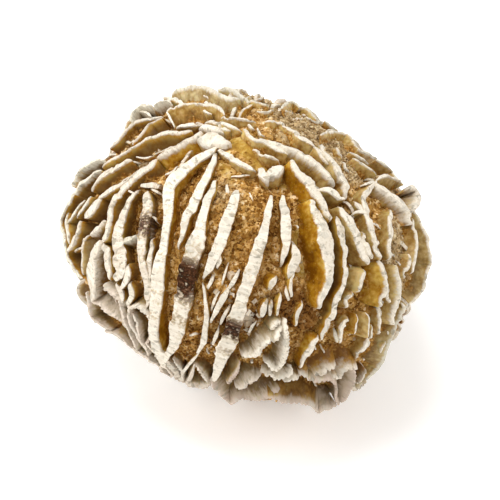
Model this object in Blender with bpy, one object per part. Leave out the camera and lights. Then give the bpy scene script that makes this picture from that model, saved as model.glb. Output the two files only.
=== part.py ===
"""Gypsum sand rose: a rounded cluster of lens-shaped gypsum blades that grew together in sand.

The blades stand on a sandy core like the ribs of a pumpkin. Their rims run down from a hub near the top, and small
plates close the lower edge. Crystals that overlap are one solid here, as they are in the real stone.

Places on the stone are given as longitude and latitude, in degrees, in the growth frame: latitude 90 is the hub,
longitude 0 faces -Y, and longitude grows towards +X. Lengths are in metres, and blade sizes in millimetres.
"""

import math
import random

import bpy
import bmesh
import numpy as np

MM = 0.001

# Driving dimensions of the body that the rims follow
HALF_LENGTH = 0.0355  # along X
HALF_DEPTH = 0.0330  # along Y
HALF_HEIGHT = 0.0310  # along the growth axis
CENTRE_HEIGHT = 0.0285  # of the body above the surface that it rests on
GROWTH_LEAN = 10.0  # degrees that the hub leans towards -X

# Swellings (+) and flats (-) of the body: longitude, latitude, share of the radius, spread in degrees
LUMPS = (
    (-45, -25, -0.14, 38),
    (115, 30, -0.14, 38),
    (-130, 35, 0.05, 32),
    (-92, 18, 0.055, 28),
    (28, -25, 0.04, 22),
    (85, 5, 0.04, 25),
    (-165, 42, 0.05, 22),
)

# The sandy core, as a share of the body's radius, and the pockets between blades where it lies deeper
CORE_SHARE = 0.885
CORE_FOOT_SHARE = 0.085  # added under the stone, so that the core reaches the resting surface
CORE_RINGS = 13
CORE_SEGMENTS = 26
CORE_ROUGHNESS = 0.012
POCKETS = (
    (40, 60, 0.06, 14),
    (36, 32, 0.10, 13),
    (45, 12, 0.05, 14),
    (-150, 72, 0.06, 16),
    (-84, 70, 0.04, 14),
    (-75, 30, 0.05, 14),
    (150, 10, 0.04, 18),
)

# A blade's form
TIP_WIDTH = 0.45  # mm, at both ends of a rim
TIP_DIVE = 1.6  # mm that the ends of a rim sink below its middle
ROOT_SHARE = 0.8  # width of the root over the width of the rim
ROOT_COVER = 1.5  # mm of root inside the core
LONGEST_FLANK = 15.0  # mm from rim to root
STATION_STEP = 8.0  # mm between the cross-sections along a rim

# Blades: rim width in mm, height over the body in mm, lean in degrees, and the rim's course. A positive lean swings the
# root to the right of someone who walks along the rim.
FRONT_BLADES = (
    (2.0, 0.2, 0, ((-5, 80), (-28, 75), (-43, 65), (-36, 57), (-29, 44), (-28, 33), (-31, 18), (-33, 4), (-37, -26))),
    (1.6, -0.1, 0, ((-4, 77), (-15, 67), (-20, 57), (-22, 42))),
    (3.4, 0.4, 0, ((-4, 67), (-14, 49), (-20, 28), (-26, 8), (-29, 1))),
    (2.0, 0.1, 0, ((9, 63), (0, 53), (-10, 35))),
    (0.9, -0.5, 0, ((-11, 35), (-11, 21), (-15, 9), (-29, -12))),
    (0.9, -0.5, 0, ((-18, 2), (-14, -8))),
    (1.2, -0.3, 0, ((4, 38), (-9, 20))),
    (0.8, -0.8, 0, ((-1, 40), (-8, 24))),
    (3.3, 0.4, 0, ((27, 57), (9, 36), (-3, 17), (-13, -4))),
    (1.9, -0.1, 5, ((34, 55), (29, 47), (20, 33))),
    (2.2, -0.5, 10, ((30, 42), (24, 31))),
    (1.6, -0.7, 0, ((17, 20), (14, 11), (11, 0))),
)
RIGHT_BLADES = (
    (2.5, 0.1, 32, ((46, 51), (45, 42), (37, 29), (26, 17))),
    (1.8, -0.2, 36, ((58, 65), (53, 57), (49, 43), (46, 38))),
    (1.3, -0.4, 12, ((50, 41), (42, 27), (33, 16), (25, 7), (15, -2))),
    (1.8, -0.1, 22, ((54, 41), (52, 34), (48, 20))),
    (1.6, -0.7, 20, ((48, 24), (39, 15))),
    (1.1, -0.4, 15, ((54, 32), (50, 21))),
    (1.5, -0.2, 20, ((63, 37), (59, 27), (54, 18))),
    (1.7, 0.1, 15, ((77, 36), (65, 33), (58, 28))),
    (1.3, 0.0, 20, ((72, 26), (65, 21), (57, 16))),
    (2.8, 0.7, 25, ((72, 39), (79, 30), (83, 19), (76, 13))),
    (3.0, 1.0, 10, ((91, 19), (96, 11), (92, 5))),
    (0.9, -0.1, 25, ((79, 16), (67, 6))),
    (1.2, 0.2, 36, ((82, 19), (83, 9), (79, -2), (70, -7), (58, -5))),
    (1.7, -0.4, 36, ((55, 20), (54, 14), (51, 8))),
    (1.4, -0.1, 30, ((60, 16), (59, 8), (50, -5))),
    (1.0, -0.3, 20, ((68, 13), (60, 7))),
    (1.4, 0.3, 30, ((60, 0), (53, -7), (45, -17), (42, -27))),
    (1.5, -0.5, 15, ((42, 0), (33, -8))),
    (1.3, -0.7, 15, ((35, 9), (28, -3))),
)
UPPER_BLADES = (
    (1.3, -0.2, 30, ((113, 72), (96, 63), (80, 57), (69, 47))),
    (1.4, -0.4, 45, ((60, 81), (62, 72), (62, 63))),
    (2.1, -0.1, 40, ((70, 77), (73, 65), (69, 54), (63, 46))),
    (1.0, -0.5, 15, ((0, 80), (15, 75), (26, 68))),
    (2.0, 0.1, 20, ((28, 68), (36, 66), (45, 63))),
    (1.7, -0.1, 25, ((88, 56), (74, 48), (61, 40))),
    (1.1, 0.0, 15, ((106, 50), (116, 42), (118, 34), (110, 28))),
    (1.1, -0.3, 20, ((90, 44), (88, 37), (84, 31))),
    (1.1, 0.1, 35, ((88, 33), (94, 26), (97, 18))),
    (1.3, 0.4, 0, ((-145, 42), (-156, 48), (-170, 51), (-190, 60))),
    (1.5, -0.4, 0, ((-130, 60), (-142, 63), (-156, 69), (-178, 78))),
    (1.5, -0.1, 0, ((-182, 57), (-192, 60), (-206, 66))),
    (2.2, 0.2, 0, ((134, 63), (143, 50), (145, 39), (130, 41))),
    (1.3, -0.1, 0, ((-122, 44), (-125, 53), (-125, 62))),
    (1.7, -0.2, 0, ((-108, 56), (-118, 61), (-126, 67))),
    (1.0, -0.5, 0, ((146, 80), (124, 78), (106, 74))),
    (2.6, 0.4, 0, ((-125, 35), (-136, 41), (-139, 50))),
    (3.6, 0.6, 0, ((-115, 81), (-50, 86), (15, 82))),
)
LEFT_BLADES = (
    (1.0, -0.5, -10, ((-130, 82), (-104, 70))),
    (1.3, -0.4, -20, ((-93, 85), (-102, 69), (-98, 54), (-97, 42))),
    (2.4, 0.0, -32, ((-60, 84), (-77, 77), (-71, 66))),
    (2.7, 0.0, 0, ((-67, 68), (-70, 59), (-70, 47), (-62, 33))),
    (1.5, -0.2, 0, ((-60, 36), (-52, 24))),
    (2.2, -0.2, 0, ((-82, 61), (-90, 48), (-88, 37))),
    (3.0, 0.3, 10, ((-68, 57), (-76, 46), (-80, 32))),
    (3.2, 0.3, 10, ((-80, 34), (-82, 24), (-88, 10))),
    (3.0, 0.1, 8, ((-50, 60), (-61, 54), (-55, 41), (-47, 20))),
    (2.6, -0.2, 4, ((-52, 58), (-45, 49), (-34, 23))),
    (1.0, -0.6, 0, ((-37, 47), (-32, 23))),
    (4.0, 0.6, 20, ((-61, 36), (-66, 24), (-66, 6))),
    (1.7, -0.4, 0, ((-44, 34), (-43, 24), (-38, 11))),
    (1.4, -0.4, 5, ((-48, 24), (-46, 12), (-43, -2))),
    (1.4, -0.1, 0, ((-99, 25), (-91, 15), (-82, 6), (-70, -2))),
    (2.0, 0.9, 0, ((-101, 47), (-105, 36), (-104, 25))),
    (1.9, -0.2, 0, ((-106, 50), (-115, 38), (-112, 22))),
    (2.0, 0.9, 0, ((-104, 31), (-97, 21), (-90, 12))),
    (1.8, -0.2, 0, ((-101, 10), (-92, -4), (-86, -18))),
    (1.8, -0.2, 0, ((-84, -2), (-78, -12), (-72, -24))),
)
LOWER_PLATES = (
    (1.7, 0.4, -15, ((-65, 18), (-60, 15), (-52, 15), (-43, 12))),
    (1.5, 0.0, 0, ((-73, 2), (-67, -8), (-55, -14))),
    (1.2, -0.4, 0, ((-43, 11), (-42, 2), (-44, -14))),
    (1.5, 0.1, -20, ((-44, 19), (-38, 20), (-32, 17))),
    (1.2, -0.3, 0, ((-53, 6), (-51, -6), (-50, -18))),
    (1.8, 0.1, -20, ((-42, -14), (-35, -22), (-27, -27), (-19, -24))),
    (1.5, 0.8, -20, ((-16, -8), (-15, -20), (-9, -26), (-1, -21), (7, -12))),
    (1.3, 0.4, -20, ((-8, -9), (-4, -4), (0, 3))),
    (1.5, 0.5, -40, ((-3, 9), (3, 6), (9, 9), (14, 16))),
    (1.3, 0.4, -40, ((3, 1), (7, -5), (12, -5), (18, -4))),
    (1.3, 0.5, -30, ((13, -2), (21, -4), (29, -5))),
    (1.3, 0.6, -40, ((19, -8), (26, -12), (34, -9))),
    (1.3, 1.8, -25, ((6, -15), (13, -21), (20, -32))),
    (1.3, 2.2, -25, ((19, -34), (27, -30), (26, -20), (23, -11))),
    (1.3, 1.6, 20, ((33, -9), (34, -19), (31, -31))),
    (1.4, 0.6, 20, ((44, -21), (43, -29), (36, -34))),
)

# The far side and the underside: rings of blades placed by rule
FAR_SIDE = {"first": 92, "last": 248, "count": 15, "top": 43, "foot": -33, "width": 1.9, "seed": 7}
FAR_FILL = {"first": 98, "last": 242, "count": 13, "top": 20, "foot": -12, "width": 1.3, "seed": 14}
UNDERSIDE = {"first": 8, "last": 352, "count": 20, "top": -34, "foot": -68, "width": 1.5, "seed": 31}

SELENITE = {"colour": (0.80, 0.71, 0.55, 1.0), "roughness": 0.6}


def direction(longitude, latitude):
    """Unit vector of a place, in the growth frame."""
    lon, lat = math.radians(longitude), math.radians(latitude)
    return np.array((math.sin(lon) * math.cos(lat), -math.cos(lon) * math.cos(lat), math.sin(lat)))


def bumps(heading, places):
    """Sum of the round bumps of a list of places, felt in one direction."""
    total = 0.0
    for longitude, latitude, height, spread in places:
        cosine = float(np.clip(heading @ direction(longitude, latitude), -1, 1))
        total += height * math.exp(-((math.degrees(math.acos(cosine)) / spread) ** 2))
    return total


def body_radius(heading):
    axes = np.array((HALF_LENGTH, HALF_DEPTH, HALF_HEIGHT))
    return (1 + bumps(heading, LUMPS)) / np.linalg.norm(heading / axes)


def core_share(heading):
    foot = bumps(heading, ((0, -90, CORE_FOOT_SHARE, 40),))
    return CORE_SHARE + foot - bumps(heading, POCKETS)


def to_world(point):
    """From the growth frame to the part's frame."""
    lean = math.radians(GROWTH_LEAN)
    x, y, z = point
    turned = (x * math.cos(lean) - z * math.sin(lean), y, x * math.sin(lean) + z * math.cos(lean))
    return (turned[0], turned[1], turned[2] + CENTRE_HEIGHT)


def rim_headings(course):
    """Directions along a rim: a smooth curve through its places, cut at an even step."""
    places = [direction(*place) for place in course]
    places = [2 * places[0] - places[1], *places, 2 * places[-1] - places[-2]]
    fine = []
    for before, start, end, after in zip(places, places[1:], places[2:], places[3:]):
        for t in np.linspace(0, 1, 12, endpoint=False):
            bend = 2 * before - 5 * start + 4 * end - after
            turn = 3 * start - before - 3 * end + after
            fine.append(0.5 * (2 * start + (end - before) * t + bend * t * t + turn * t**3))
    fine.append(places[-2])
    fine = np.array([p / np.linalg.norm(p) for p in fine])
    travelled = np.concatenate([[0], np.cumsum(np.linalg.norm(np.diff(fine, axis=0), axis=1))])
    length = travelled[-1] * HALF_HEIGHT / MM
    count = max(4, round(length / STATION_STEP) + 1)
    wanted = np.linspace(0, travelled[-1], count)
    even = np.stack([np.interp(wanted, travelled, fine[:, k]) for k in range(3)], axis=1)
    return [p / np.linalg.norm(p) for p in even]


def blade_mesh(width, height, lean, course):
    """One closed blade: a plank whose rim follows the body and whose root lies in the core."""
    headings = rim_headings(course)
    last = len(headings) - 1
    lean = math.radians(lean)
    rim = []
    for i, heading in enumerate(headings):
        belly = math.sin(math.pi * i / last) ** 0.5 if 0 < i < last else 0.0
        lift = (height - TIP_DIVE * (1 - belly) ** 2) * MM
        rim.append((heading * (body_radius(heading) + lift), belly))
    mesh = bmesh.new()
    rings = []
    for i, heading in enumerate(headings):
        point, belly = rim[i]
        along = rim[min(i + 1, last)][0] - rim[max(i - 1, 0)][0]
        along /= np.linalg.norm(along)
        side = np.cross(along, heading)
        side /= np.linalg.norm(side)
        inward = side * math.sin(lean) - heading * math.cos(lean)
        across = np.cross(along, inward)
        across /= np.linalg.norm(across)
        half = (TIP_WIDTH + (width - TIP_WIDTH) * belly) / 2 * MM
        depth = np.linalg.norm(point) - body_radius(heading) * core_share(heading)
        flank = min(max(depth, 0) / math.cos(lean) + ROOT_COVER * MM, LONGEST_FLANK * MM)
        root = point + inward * flank
        corners = (
            point + across * half,
            point - across * half,
            root - across * half * ROOT_SHARE,
            root + across * half * ROOT_SHARE,
        )
        rings.append([mesh.verts.new(to_world(corner)) for corner in corners])
    for ring, following in zip(rings, rings[1:]):
        for k in range(4):
            mesh.faces.new((ring[k], ring[(k + 1) % 4], following[(k + 1) % 4], following[k]))
    mesh.faces.new(rings[0][::-1])
    mesh.faces.new(rings[-1])
    bmesh.ops.recalc_face_normals(mesh, faces=mesh.faces)
    return mesh


def ring_of_blades(ring):
    """Blades side by side between two longitudes, each a little different from its neighbours."""
    chance = random.Random(ring["seed"])
    step = (ring["last"] - ring["first"]) / (ring["count"] - 1)
    made = []
    for k in range(ring["count"]):
        longitude = ring["first"] + step * (k + chance.uniform(-0.25, 0.25))
        drift = chance.uniform(-3, 3)
        top = ring["top"] + chance.uniform(-8, 6)
        foot = ring["foot"] + chance.uniform(-8, 8)
        middle = (longitude + drift, (top + foot) / 2)
        course = ((longitude, top), middle, (longitude - drift / 2, foot))
        width = ring["width"] * chance.uniform(0.7, 1.4)
        made.append((width, chance.uniform(-0.3, 1.2), chance.uniform(-9, 9), course))
    return tuple(made)


def core_mesh():
    """The sandy core: a ball of rings and segments, uneven like packed sand."""
    mesh = bmesh.new()
    bmesh.ops.create_uvsphere(mesh, u_segments=CORE_SEGMENTS, v_segments=CORE_RINGS, radius=1.0)
    chance = random.Random(3)
    for vertex in mesh.verts:
        heading = np.array(vertex.co.normalized())
        uneven = 1 + chance.uniform(-CORE_ROUGHNESS, CORE_ROUGHNESS)
        vertex.co = to_world(heading * body_radius(heading) * core_share(heading) * uneven)
    bmesh.ops.triangulate(mesh, faces=mesh.faces)
    bmesh.ops.recalc_face_normals(mesh, faces=mesh.faces)
    return mesh


def selenite():
    material = bpy.data.materials.new("selenite_and_sand")
    material.use_nodes = True
    shader = material.node_tree.nodes["Principled BSDF"]
    shader.inputs["Base Color"].default_value = SELENITE["colour"]
    shader.inputs["Roughness"].default_value = SELENITE["roughness"]
    shader.inputs["Metallic"].default_value = 0.0
    return material


def add_object(name, mesh, collection):
    data = bpy.data.meshes.new(name)
    mesh.to_mesh(data)
    mesh.free()
    made = bpy.data.objects.new(name, data)
    collection.objects.link(made)
    return made


def helper(made):
    """Marks an object that only shapes another one."""
    made.hide_render = True
    made.display_type = "WIRE"
    return made


def ground_cutter(collection):
    """A block under the resting surface, which wears the underside flat."""
    side = 4 * HALF_LENGTH
    mesh = bmesh.new()
    bmesh.ops.create_cube(mesh, size=side)
    bmesh.ops.translate(mesh, verts=mesh.verts, vec=(0, 0, -side / 2))
    return helper(add_object("ground_cutter", mesh, collection))


def main():
    for old in list(bpy.data.objects):
        bpy.data.objects.remove(old)
    scene = bpy.context.scene.collection
    grown = bpy.data.collections.new("blades")
    scene.children.link(grown)
    blades = FRONT_BLADES + RIGHT_BLADES + UPPER_BLADES + LEFT_BLADES + LOWER_PLATES
    blades += ring_of_blades(FAR_SIDE) + ring_of_blades(FAR_FILL) + ring_of_blades(UNDERSIDE)
    for number, blade in enumerate(blades):
        helper(add_object(f"blade_{number:03d}", blade_mesh(*blade), grown))
    rose = add_object("sand_rose", core_mesh(), scene)
    rose.data.materials.append(selenite())
    grow = rose.modifiers.new("grow_blades", "BOOLEAN")
    grow.operation = "UNION"
    grow.operand_type = "COLLECTION"
    grow.collection = grown
    grow.solver = "EXACT"
    grow.use_self = True
    rest = rose.modifiers.new("rest_flat", "BOOLEAN")
    rest.operation = "DIFFERENCE"
    rest.object = ground_cutter(scene)
    rest.solver = "EXACT"


main()
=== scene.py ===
# Gypsum sand rose: lens-shaped selenite blades, crusted white along their rims, on a core of cemented sand
import math
import random

import bpy
import numpy as np
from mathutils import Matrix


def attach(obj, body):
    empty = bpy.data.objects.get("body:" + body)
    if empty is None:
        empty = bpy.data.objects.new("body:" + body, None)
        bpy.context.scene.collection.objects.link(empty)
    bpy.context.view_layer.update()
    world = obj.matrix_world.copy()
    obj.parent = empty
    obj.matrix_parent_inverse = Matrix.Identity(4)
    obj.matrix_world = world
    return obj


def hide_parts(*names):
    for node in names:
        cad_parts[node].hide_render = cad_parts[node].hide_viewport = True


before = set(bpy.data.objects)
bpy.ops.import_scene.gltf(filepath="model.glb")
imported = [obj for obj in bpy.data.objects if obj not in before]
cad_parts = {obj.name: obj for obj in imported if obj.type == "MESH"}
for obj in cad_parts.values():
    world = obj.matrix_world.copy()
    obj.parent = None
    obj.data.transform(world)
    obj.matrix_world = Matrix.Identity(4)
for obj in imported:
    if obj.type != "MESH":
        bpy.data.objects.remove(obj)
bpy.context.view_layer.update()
mm = 0.001
floorGap = 0.05  # mm that the lowest points keep to the floor
print("frame: packed stone loaded")

# The body that the rims follow, in mm and degrees, as the solid has it. Places are longitude and latitude in
# the growth frame: latitude 90 is the hub, longitude 0 faces -Y, and longitude grows towards +X.
stoneForm = {
    "halfLength": 35.5,
    "halfDepth": 33.0,
    "halfHeight": 31.0,
    "centreHeight": 28.5,
    "growthLean": 10.0,
    "lumps": (  # longitude, latitude, share of the radius, spread
        (-45, -25, -0.14, 38),
        (115, 30, -0.14, 38),
        (-130, 35, 0.05, 32),
        (-92, 18, 0.055, 28),
        (28, -25, 0.04, 22),
        (85, 5, 0.04, 25),
        (-165, 42, 0.05, 22),
    ),
}


def unit(vectors):
    return vectors / np.linalg.norm(vectors, axis=-1, keepdims=True)


def travelled(points):
    # how far along a run of points each one is
    return np.concatenate([[0], np.cumsum(np.linalg.norm(np.diff(points, axis=0), axis=1))])


def direction(longitude, latitude):
    lon, lat = math.radians(longitude), math.radians(latitude)
    return np.array((math.sin(lon) * math.cos(lat), -math.cos(lon) * math.cos(lat), math.sin(lat)))


def bumps(headings, places):
    total = np.zeros(len(headings))
    for longitude, latitude, height, spread in places:
        cosine = np.clip(headings @ direction(longitude, latitude), -1, 1)
        total += height * np.exp(-((np.degrees(np.arccos(cosine)) / spread) ** 2))
    return total


def bodyRadius(headings):
    axes = np.array((stoneForm["halfLength"], stoneForm["halfDepth"], stoneForm["halfHeight"]))
    return (1 + bumps(headings, stoneForm["lumps"])) / np.linalg.norm(headings / axes, axis=1)


def placed(points):
    # from the growth frame, in mm, to the part's own frame, still in mm
    lean = math.radians(stoneForm["growthLean"])
    x, y, z = points.T
    turned = (x * math.cos(lean) - z * math.sin(lean), y, x * math.sin(lean) + z * math.cos(lean))
    return np.stack(turned, axis=1) + np.array((0, 0, stoneForm["centreHeight"]))


def unplaced(points):
    lean = math.radians(stoneForm["growthLean"])
    x, y, z = (points - np.array((0, 0, stoneForm["centreHeight"]))).T
    turned = (x * math.cos(lean) + z * math.sin(lean), y, z * math.cos(lean) - x * math.sin(lean))
    return np.stack(turned, axis=1)


# The sight plane: most rims were laid out as seen from the front, 43 degrees up. Its marks run right and
# down, and (250, 250) is the stone's centre.
sight = {
    "tilt": 43.0,
    "reach": 300.0,  # mm from the eye to the stone's centre
    "searched": (235, 330, 0.25),  # mm from the eye, between which the stone's surface lies, and the step
    "mark": 0.19636,  # mm between marks
    "centre": 250,
}


def sightFrame():
    # the eye's place and the plane's right and up, in the growth frame
    tilt, lean = math.radians(sight["tilt"]), math.radians(stoneForm["growthLean"])
    turn = np.array(((math.cos(lean), 0, math.sin(lean)), (0, 1, 0), (-math.sin(lean), 0, math.cos(lean))))
    right, up = np.array((1, 0, 0)), np.array((0, math.sin(tilt), math.cos(tilt)))
    eye = np.array((0, -math.cos(tilt), math.sin(tilt))) * sight["reach"]
    return turn @ eye, turn @ right, turn @ up


def sighted(marks, heights):
    # headings at which the sight lines through marks meet the body raised by heights, and how far off
    eye, right, up = sightFrame()
    spots = right * (marks[:, :1] - sight["centre"]) - up * (marks[:, 1:2] - sight["centre"])
    rays = unit(spots * sight["mark"] - eye)
    depths = np.arange(*sight["searched"])
    points = eye + rays[:, None] * depths[:, None]
    far = np.linalg.norm(points, axis=2)
    above = far - bodyRadius((points / far[..., None]).reshape(-1, 3)).reshape(far.shape) - heights[:, None]
    reached = above < 0
    first = np.where(reached.any(axis=1), reached.argmax(axis=1), above.argmin(axis=1))
    return unit(points[np.arange(len(marks)), first]), depths[first]


def endRise(along, taper, point):
    # from 0 at both ends to 1, over the taper
    ends = np.clip(np.minimum(along, along[-1] - along) / min(along[-1] / 2, taper), 0, 1)
    return np.sin(math.pi / 2 * ends) ** point


def seen(height, lean, *course, dive=2.2, taper=3.0, point=0.9, bare=(), **own):
    # A blade whose course is (right, down, width) in marks of the sight plane. Its ends dive less where the
    # stone turns away from the eye. Each bare place is (down, reach, share of the crust that is missing).
    marks = np.array(course, float)
    along = travelled(marks[:, :2]) * sight["mark"]
    facing = sighted(marks, np.full(len(marks), height))[0] @ unit(sightFrame()[0])
    dive = dive * max(bladeForm["leastFacing"], facing.mean()) ** 2
    heights = height - dive * (1 - endRise(along, taper, point)) ** 2
    places, depths = sighted(marks, heights)
    widths = marks[:, 2] * sight["mark"] * depths / sight["reach"]
    share = travelled(places)
    share = share / share[-1]
    spread = 1 / abs(marks[-1, 1] - marks[0, 1])
    bare = [(np.interp(down, marks[:, 1], share), spread * reach, amount) for down, reach, amount in bare]
    return {"height": height, "lean": lean, "places": places, "widths": widths, "seen": True, "dive": dive,
            "taper": taper, "point": point, "bare": bare, **own}


def strip(height, lean, *course, **own):
    # a seen blade with blunter ends
    return seen(height, lean, *course, **{"taper": 1.7, "point": 0.7, "dive": 1.8, **own})


def ruled(width, height, lean, course, **own):
    # a blade whose course is (longitude, latitude) in degrees
    places = np.array([direction(*place) for place in course])
    widths = [width] * len(places)
    return {"height": height, "lean": lean, "places": places, "widths": widths, "seen": False, **own}


# Repeatable noise for shapes, from -1 to 1, in mm


def latticeValue(cell, seed):
    # a hash of whole numbers, so that every run gives the same
    x, y, z = (cell[..., k].astype(np.int64).astype(np.uint32) for k in range(3))
    mixed = x * np.uint32(2654435761) ^ y * np.uint32(2246822519) ^ z * np.uint32(3266489917)
    mixed = mixed ^ np.uint32((seed * 7919 + 101) % 4294967296)
    for step, factor in ((15, 739982445), (12, 695872825)):
        mixed = (mixed ^ (mixed >> np.uint32(step))) * np.uint32(factor)
    mixed = mixed ^ (mixed >> np.uint32(15))
    return mixed / 2147483647.5 - 1


def smoothNoise(points, size, seed):
    at = points / size
    cell = np.floor(at)
    part = at - cell
    part = part * part * (3 - 2 * part)
    total = np.zeros(len(points))
    for corner in np.ndindex(2, 2, 2):
        corner = np.array(corner)
        share = np.prod(np.where(corner == 1, part, 1 - part), axis=1)
        total += share * latticeValue(cell + corner, seed)
    return total


def lineNoise(along, size, seed):
    points = np.stack([along, np.full(len(along), 0.37 * size), np.full(len(along), 0.61 * size)], axis=1)
    return smoothNoise(points, size, seed)


def stepNoise(along, size, seed):
    # level runs about size mm long with sudden steps between them
    at = along / size + 0.6 * lineNoise(along, 2.3 * size, seed + 50)
    cell = np.floor(at)
    blend = np.clip((at - cell - 0.8) / 0.2, 0, 1)
    here = np.stack([cell, 0 * cell, 0 * cell], axis=1)
    there = here + np.array((1, 0, 0))
    return latticeValue(here, seed) * (1 - blend) + latticeValue(there, seed) * blend


def grainNoise(points, size, seed):
    # from 0 in the middle of a round grain to 1 far from any
    at = points / size
    cell = np.floor(at)
    nearest = np.full(len(points), 9.0)
    for offset in np.ndindex(3, 3, 3):
        there = cell + np.array(offset) - 1
        spot = np.stack([latticeValue(there, seed + k) for k in range(3)], axis=1) * 0.4 + 0.5 + there
        nearest = np.minimum(nearest, np.linalg.norm(at - spot, axis=1))
    return np.clip(nearest, 0, 1)


def addObject(name, data):
    made = bpy.data.objects.new(name, data)
    bpy.context.scene.collection.objects.link(made)
    return made


def makePiece(name, parts, material):
    # one mesh from parts: each has points in mm, faces, and one value a point for each mark
    points = np.vstack([part["points"] for part in parts])
    faces, first = [], 0
    for part in parts:
        faces += [tuple(first + corner for corner in face) for face in part["faces"]]
        first += len(part["points"])
    mesh = bpy.data.meshes.new(name)
    mesh.from_pydata((points * mm).tolist(), [], faces)
    for mark in parts[0]["marks"]:
        values = np.concatenate([part["marks"][mark] for part in parts]).astype(np.float32)
        kind = "FLOAT_VECTOR" if values.ndim == 2 else "FLOAT"
        attribute = mesh.attributes.new(mark, kind, "POINT")
        attribute.data.foreach_set("vector" if values.ndim == 2 else "value", values.ravel())
    mesh.shade_smooth()
    mesh.set_sharp_from_angle(angle=math.radians(40))
    mesh.materials.append(material)
    print(f"{name}: {sum(len(face) - 2 for face in faces)} triangles")
    return addObject(name, mesh)


# The core of cemented sand

coreForm = {
    "share": 0.905,  # of the body's radius
    # swellings and pockets: longitude, latitude, share of the radius, spread
    "foot": (0, -90, 0.07, 40),  # brings the core down to the floor
    "fills": (
        (-8, 25, 0.03, 26),
        (60, 18, 0.03, 34),
        (10, 75, 0.03, 22),
        (120, 55, 0.03, 30),
        (-110, 60, 0.01, 30),
        (180, 20, 0.02, 50),
    ),
    "pockets": (
        (40, 60, 0.05, 12),
        (36, 32, 0.09, 11),
        (45, 10, 0.04, 10),
        (-150, 72, 0.05, 14),
        (-75, 30, 0.03, 14),
        (-35, 60, 0.03, 12),
    ),
    # spots: right, down and spread in marks of the sight plane, and a share
    "rises": (  # where sand lies higher, as a share of the radius
        (300, 125, 34, 0.02), (345, 150, 30, 0.02), (250, 115, 22, 0.015), (385, 300, 22, 0.02),
        (345, 325, 22, 0.01), (226, 190, 34, 0.034), (262, 215, 34, 0.028), (214, 240, 26, 0.015),
        (150, 200, 26, 0.020), (118, 190, 30, 0.015), (188, 176, 18, 0.015),
    ),
    "amberSpots": (  # clear honey crystal in place of sand
        (226, 171, 13, 0.6), (234, 182, 9, 0.4), (262, 155, 26, 1.0), (292, 172, 22, 1.0),
        (236, 142, 18, 0.9), (318, 178, 14, 0.6), (305, 235, 16, 1.0), (303, 270, 14, 0.8),
        (188, 160, 14, 0.8), (200, 98, 16, 0.7), (228, 112, 18, 0.6), (290, 138, 14, 0.7),
        (372, 282, 18, 0.8), (352, 330, 16, 0.6), (338, 185, 10, 0.6), (310, 345, 14, 0.5),
        (350, 250, 12, 0.5),
    ),
    "stainSpots": (  # painted shade: darker sand in hollows and low on the near side
        (262, 312, 13, 0.9), (226, 322, 10, 0.8), (305, 300, 16, 0.6), (340, 316, 14, 0.8),
        (160, 240, 12, 0.6), (288, 300, 16, 0.9), (305, 322, 18, 1.0), (246, 328, 14, 1.0),
        (335, 352, 16, 0.8), (300, 352, 14, 0.7), (205, 338, 10, 0.8), (190, 355, 8, 0.6),
        (345, 300, 14, 0.5), (275, 318, 12, 0.8), (150, 205, 12, 0.5), (135, 225, 12, 0.8),
        (110, 245, 16, 0.8), (370, 320, 16, 0.4), (235, 300, 10, 0.6), (212, 318, 10, 0.6),
    ),
    "paleSpots": (  # pale sand
        (272, 106, 50, 0.8), (302, 116, 70, 1.0), (304, 140, 40, 0.7), (340, 170, 26, 0.5),
        (332, 138, 60, 1.0), (362, 165, 50, 1.0), (150, 140, 40, 0.5), (115, 175, 34, 0.5),
        (398, 262, 30, 0.7), (404, 232, 26, 0.6), (224, 195, 24, 0.4), (265, 300, 12, 0.4),
        (395, 300, 20, 0.5),
    ),
    "spotDepth": 2.0,  # mm under the body at which spots are sighted
    "squares": 104,  # along each side of the six patches
    "lump": {"height": 0.8, "size": 5.0, "seed": 11},  # mm
    "clod": {"height": 1.1, "size": 2.1, "seed": 21},
    "grain": {"height": 0.4, "size": 0.85, "seed": 31},
    "amberSmooth": 0.7,  # share of the relief that amber places lose
}


def spotSum(headings, spots):
    # how strongly spots are felt at headings
    marks = np.array(spots, float)
    centres, _ = sighted(marks, np.full(len(marks), -coreForm["spotDepth"]))
    total = np.zeros(len(headings))
    for centre, spread, share in zip(centres, marks[:, 2], marks[:, 3]):
        away = np.arccos(np.clip(headings @ centre, -1, 1)) * stoneForm["halfLength"]
        total += share * np.exp(-((away / (spread * sight["mark"])) ** 2))
    return total


def spotShare(headings, kind):
    # how far places are covered by a kind of spots, from 0 to 1
    return np.clip(spotSum(headings, coreForm[kind + "Spots"]), 0, 1)


def coreShare(headings):
    raised = bumps(headings, (coreForm["foot"], *coreForm["fills"]))
    raised = raised + spotSum(headings, coreForm["rises"])
    return coreForm["share"] + raised - bumps(headings, coreForm["pockets"])


def sandRadius(headings):
    # the loose surface without its grains
    smooth = bodyRadius(headings) * coreShare(headings)
    lump = coreForm["lump"]
    return smooth + lump["height"] * smoothNoise(headings * smooth[:, None], lump["size"], lump["seed"])


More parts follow.
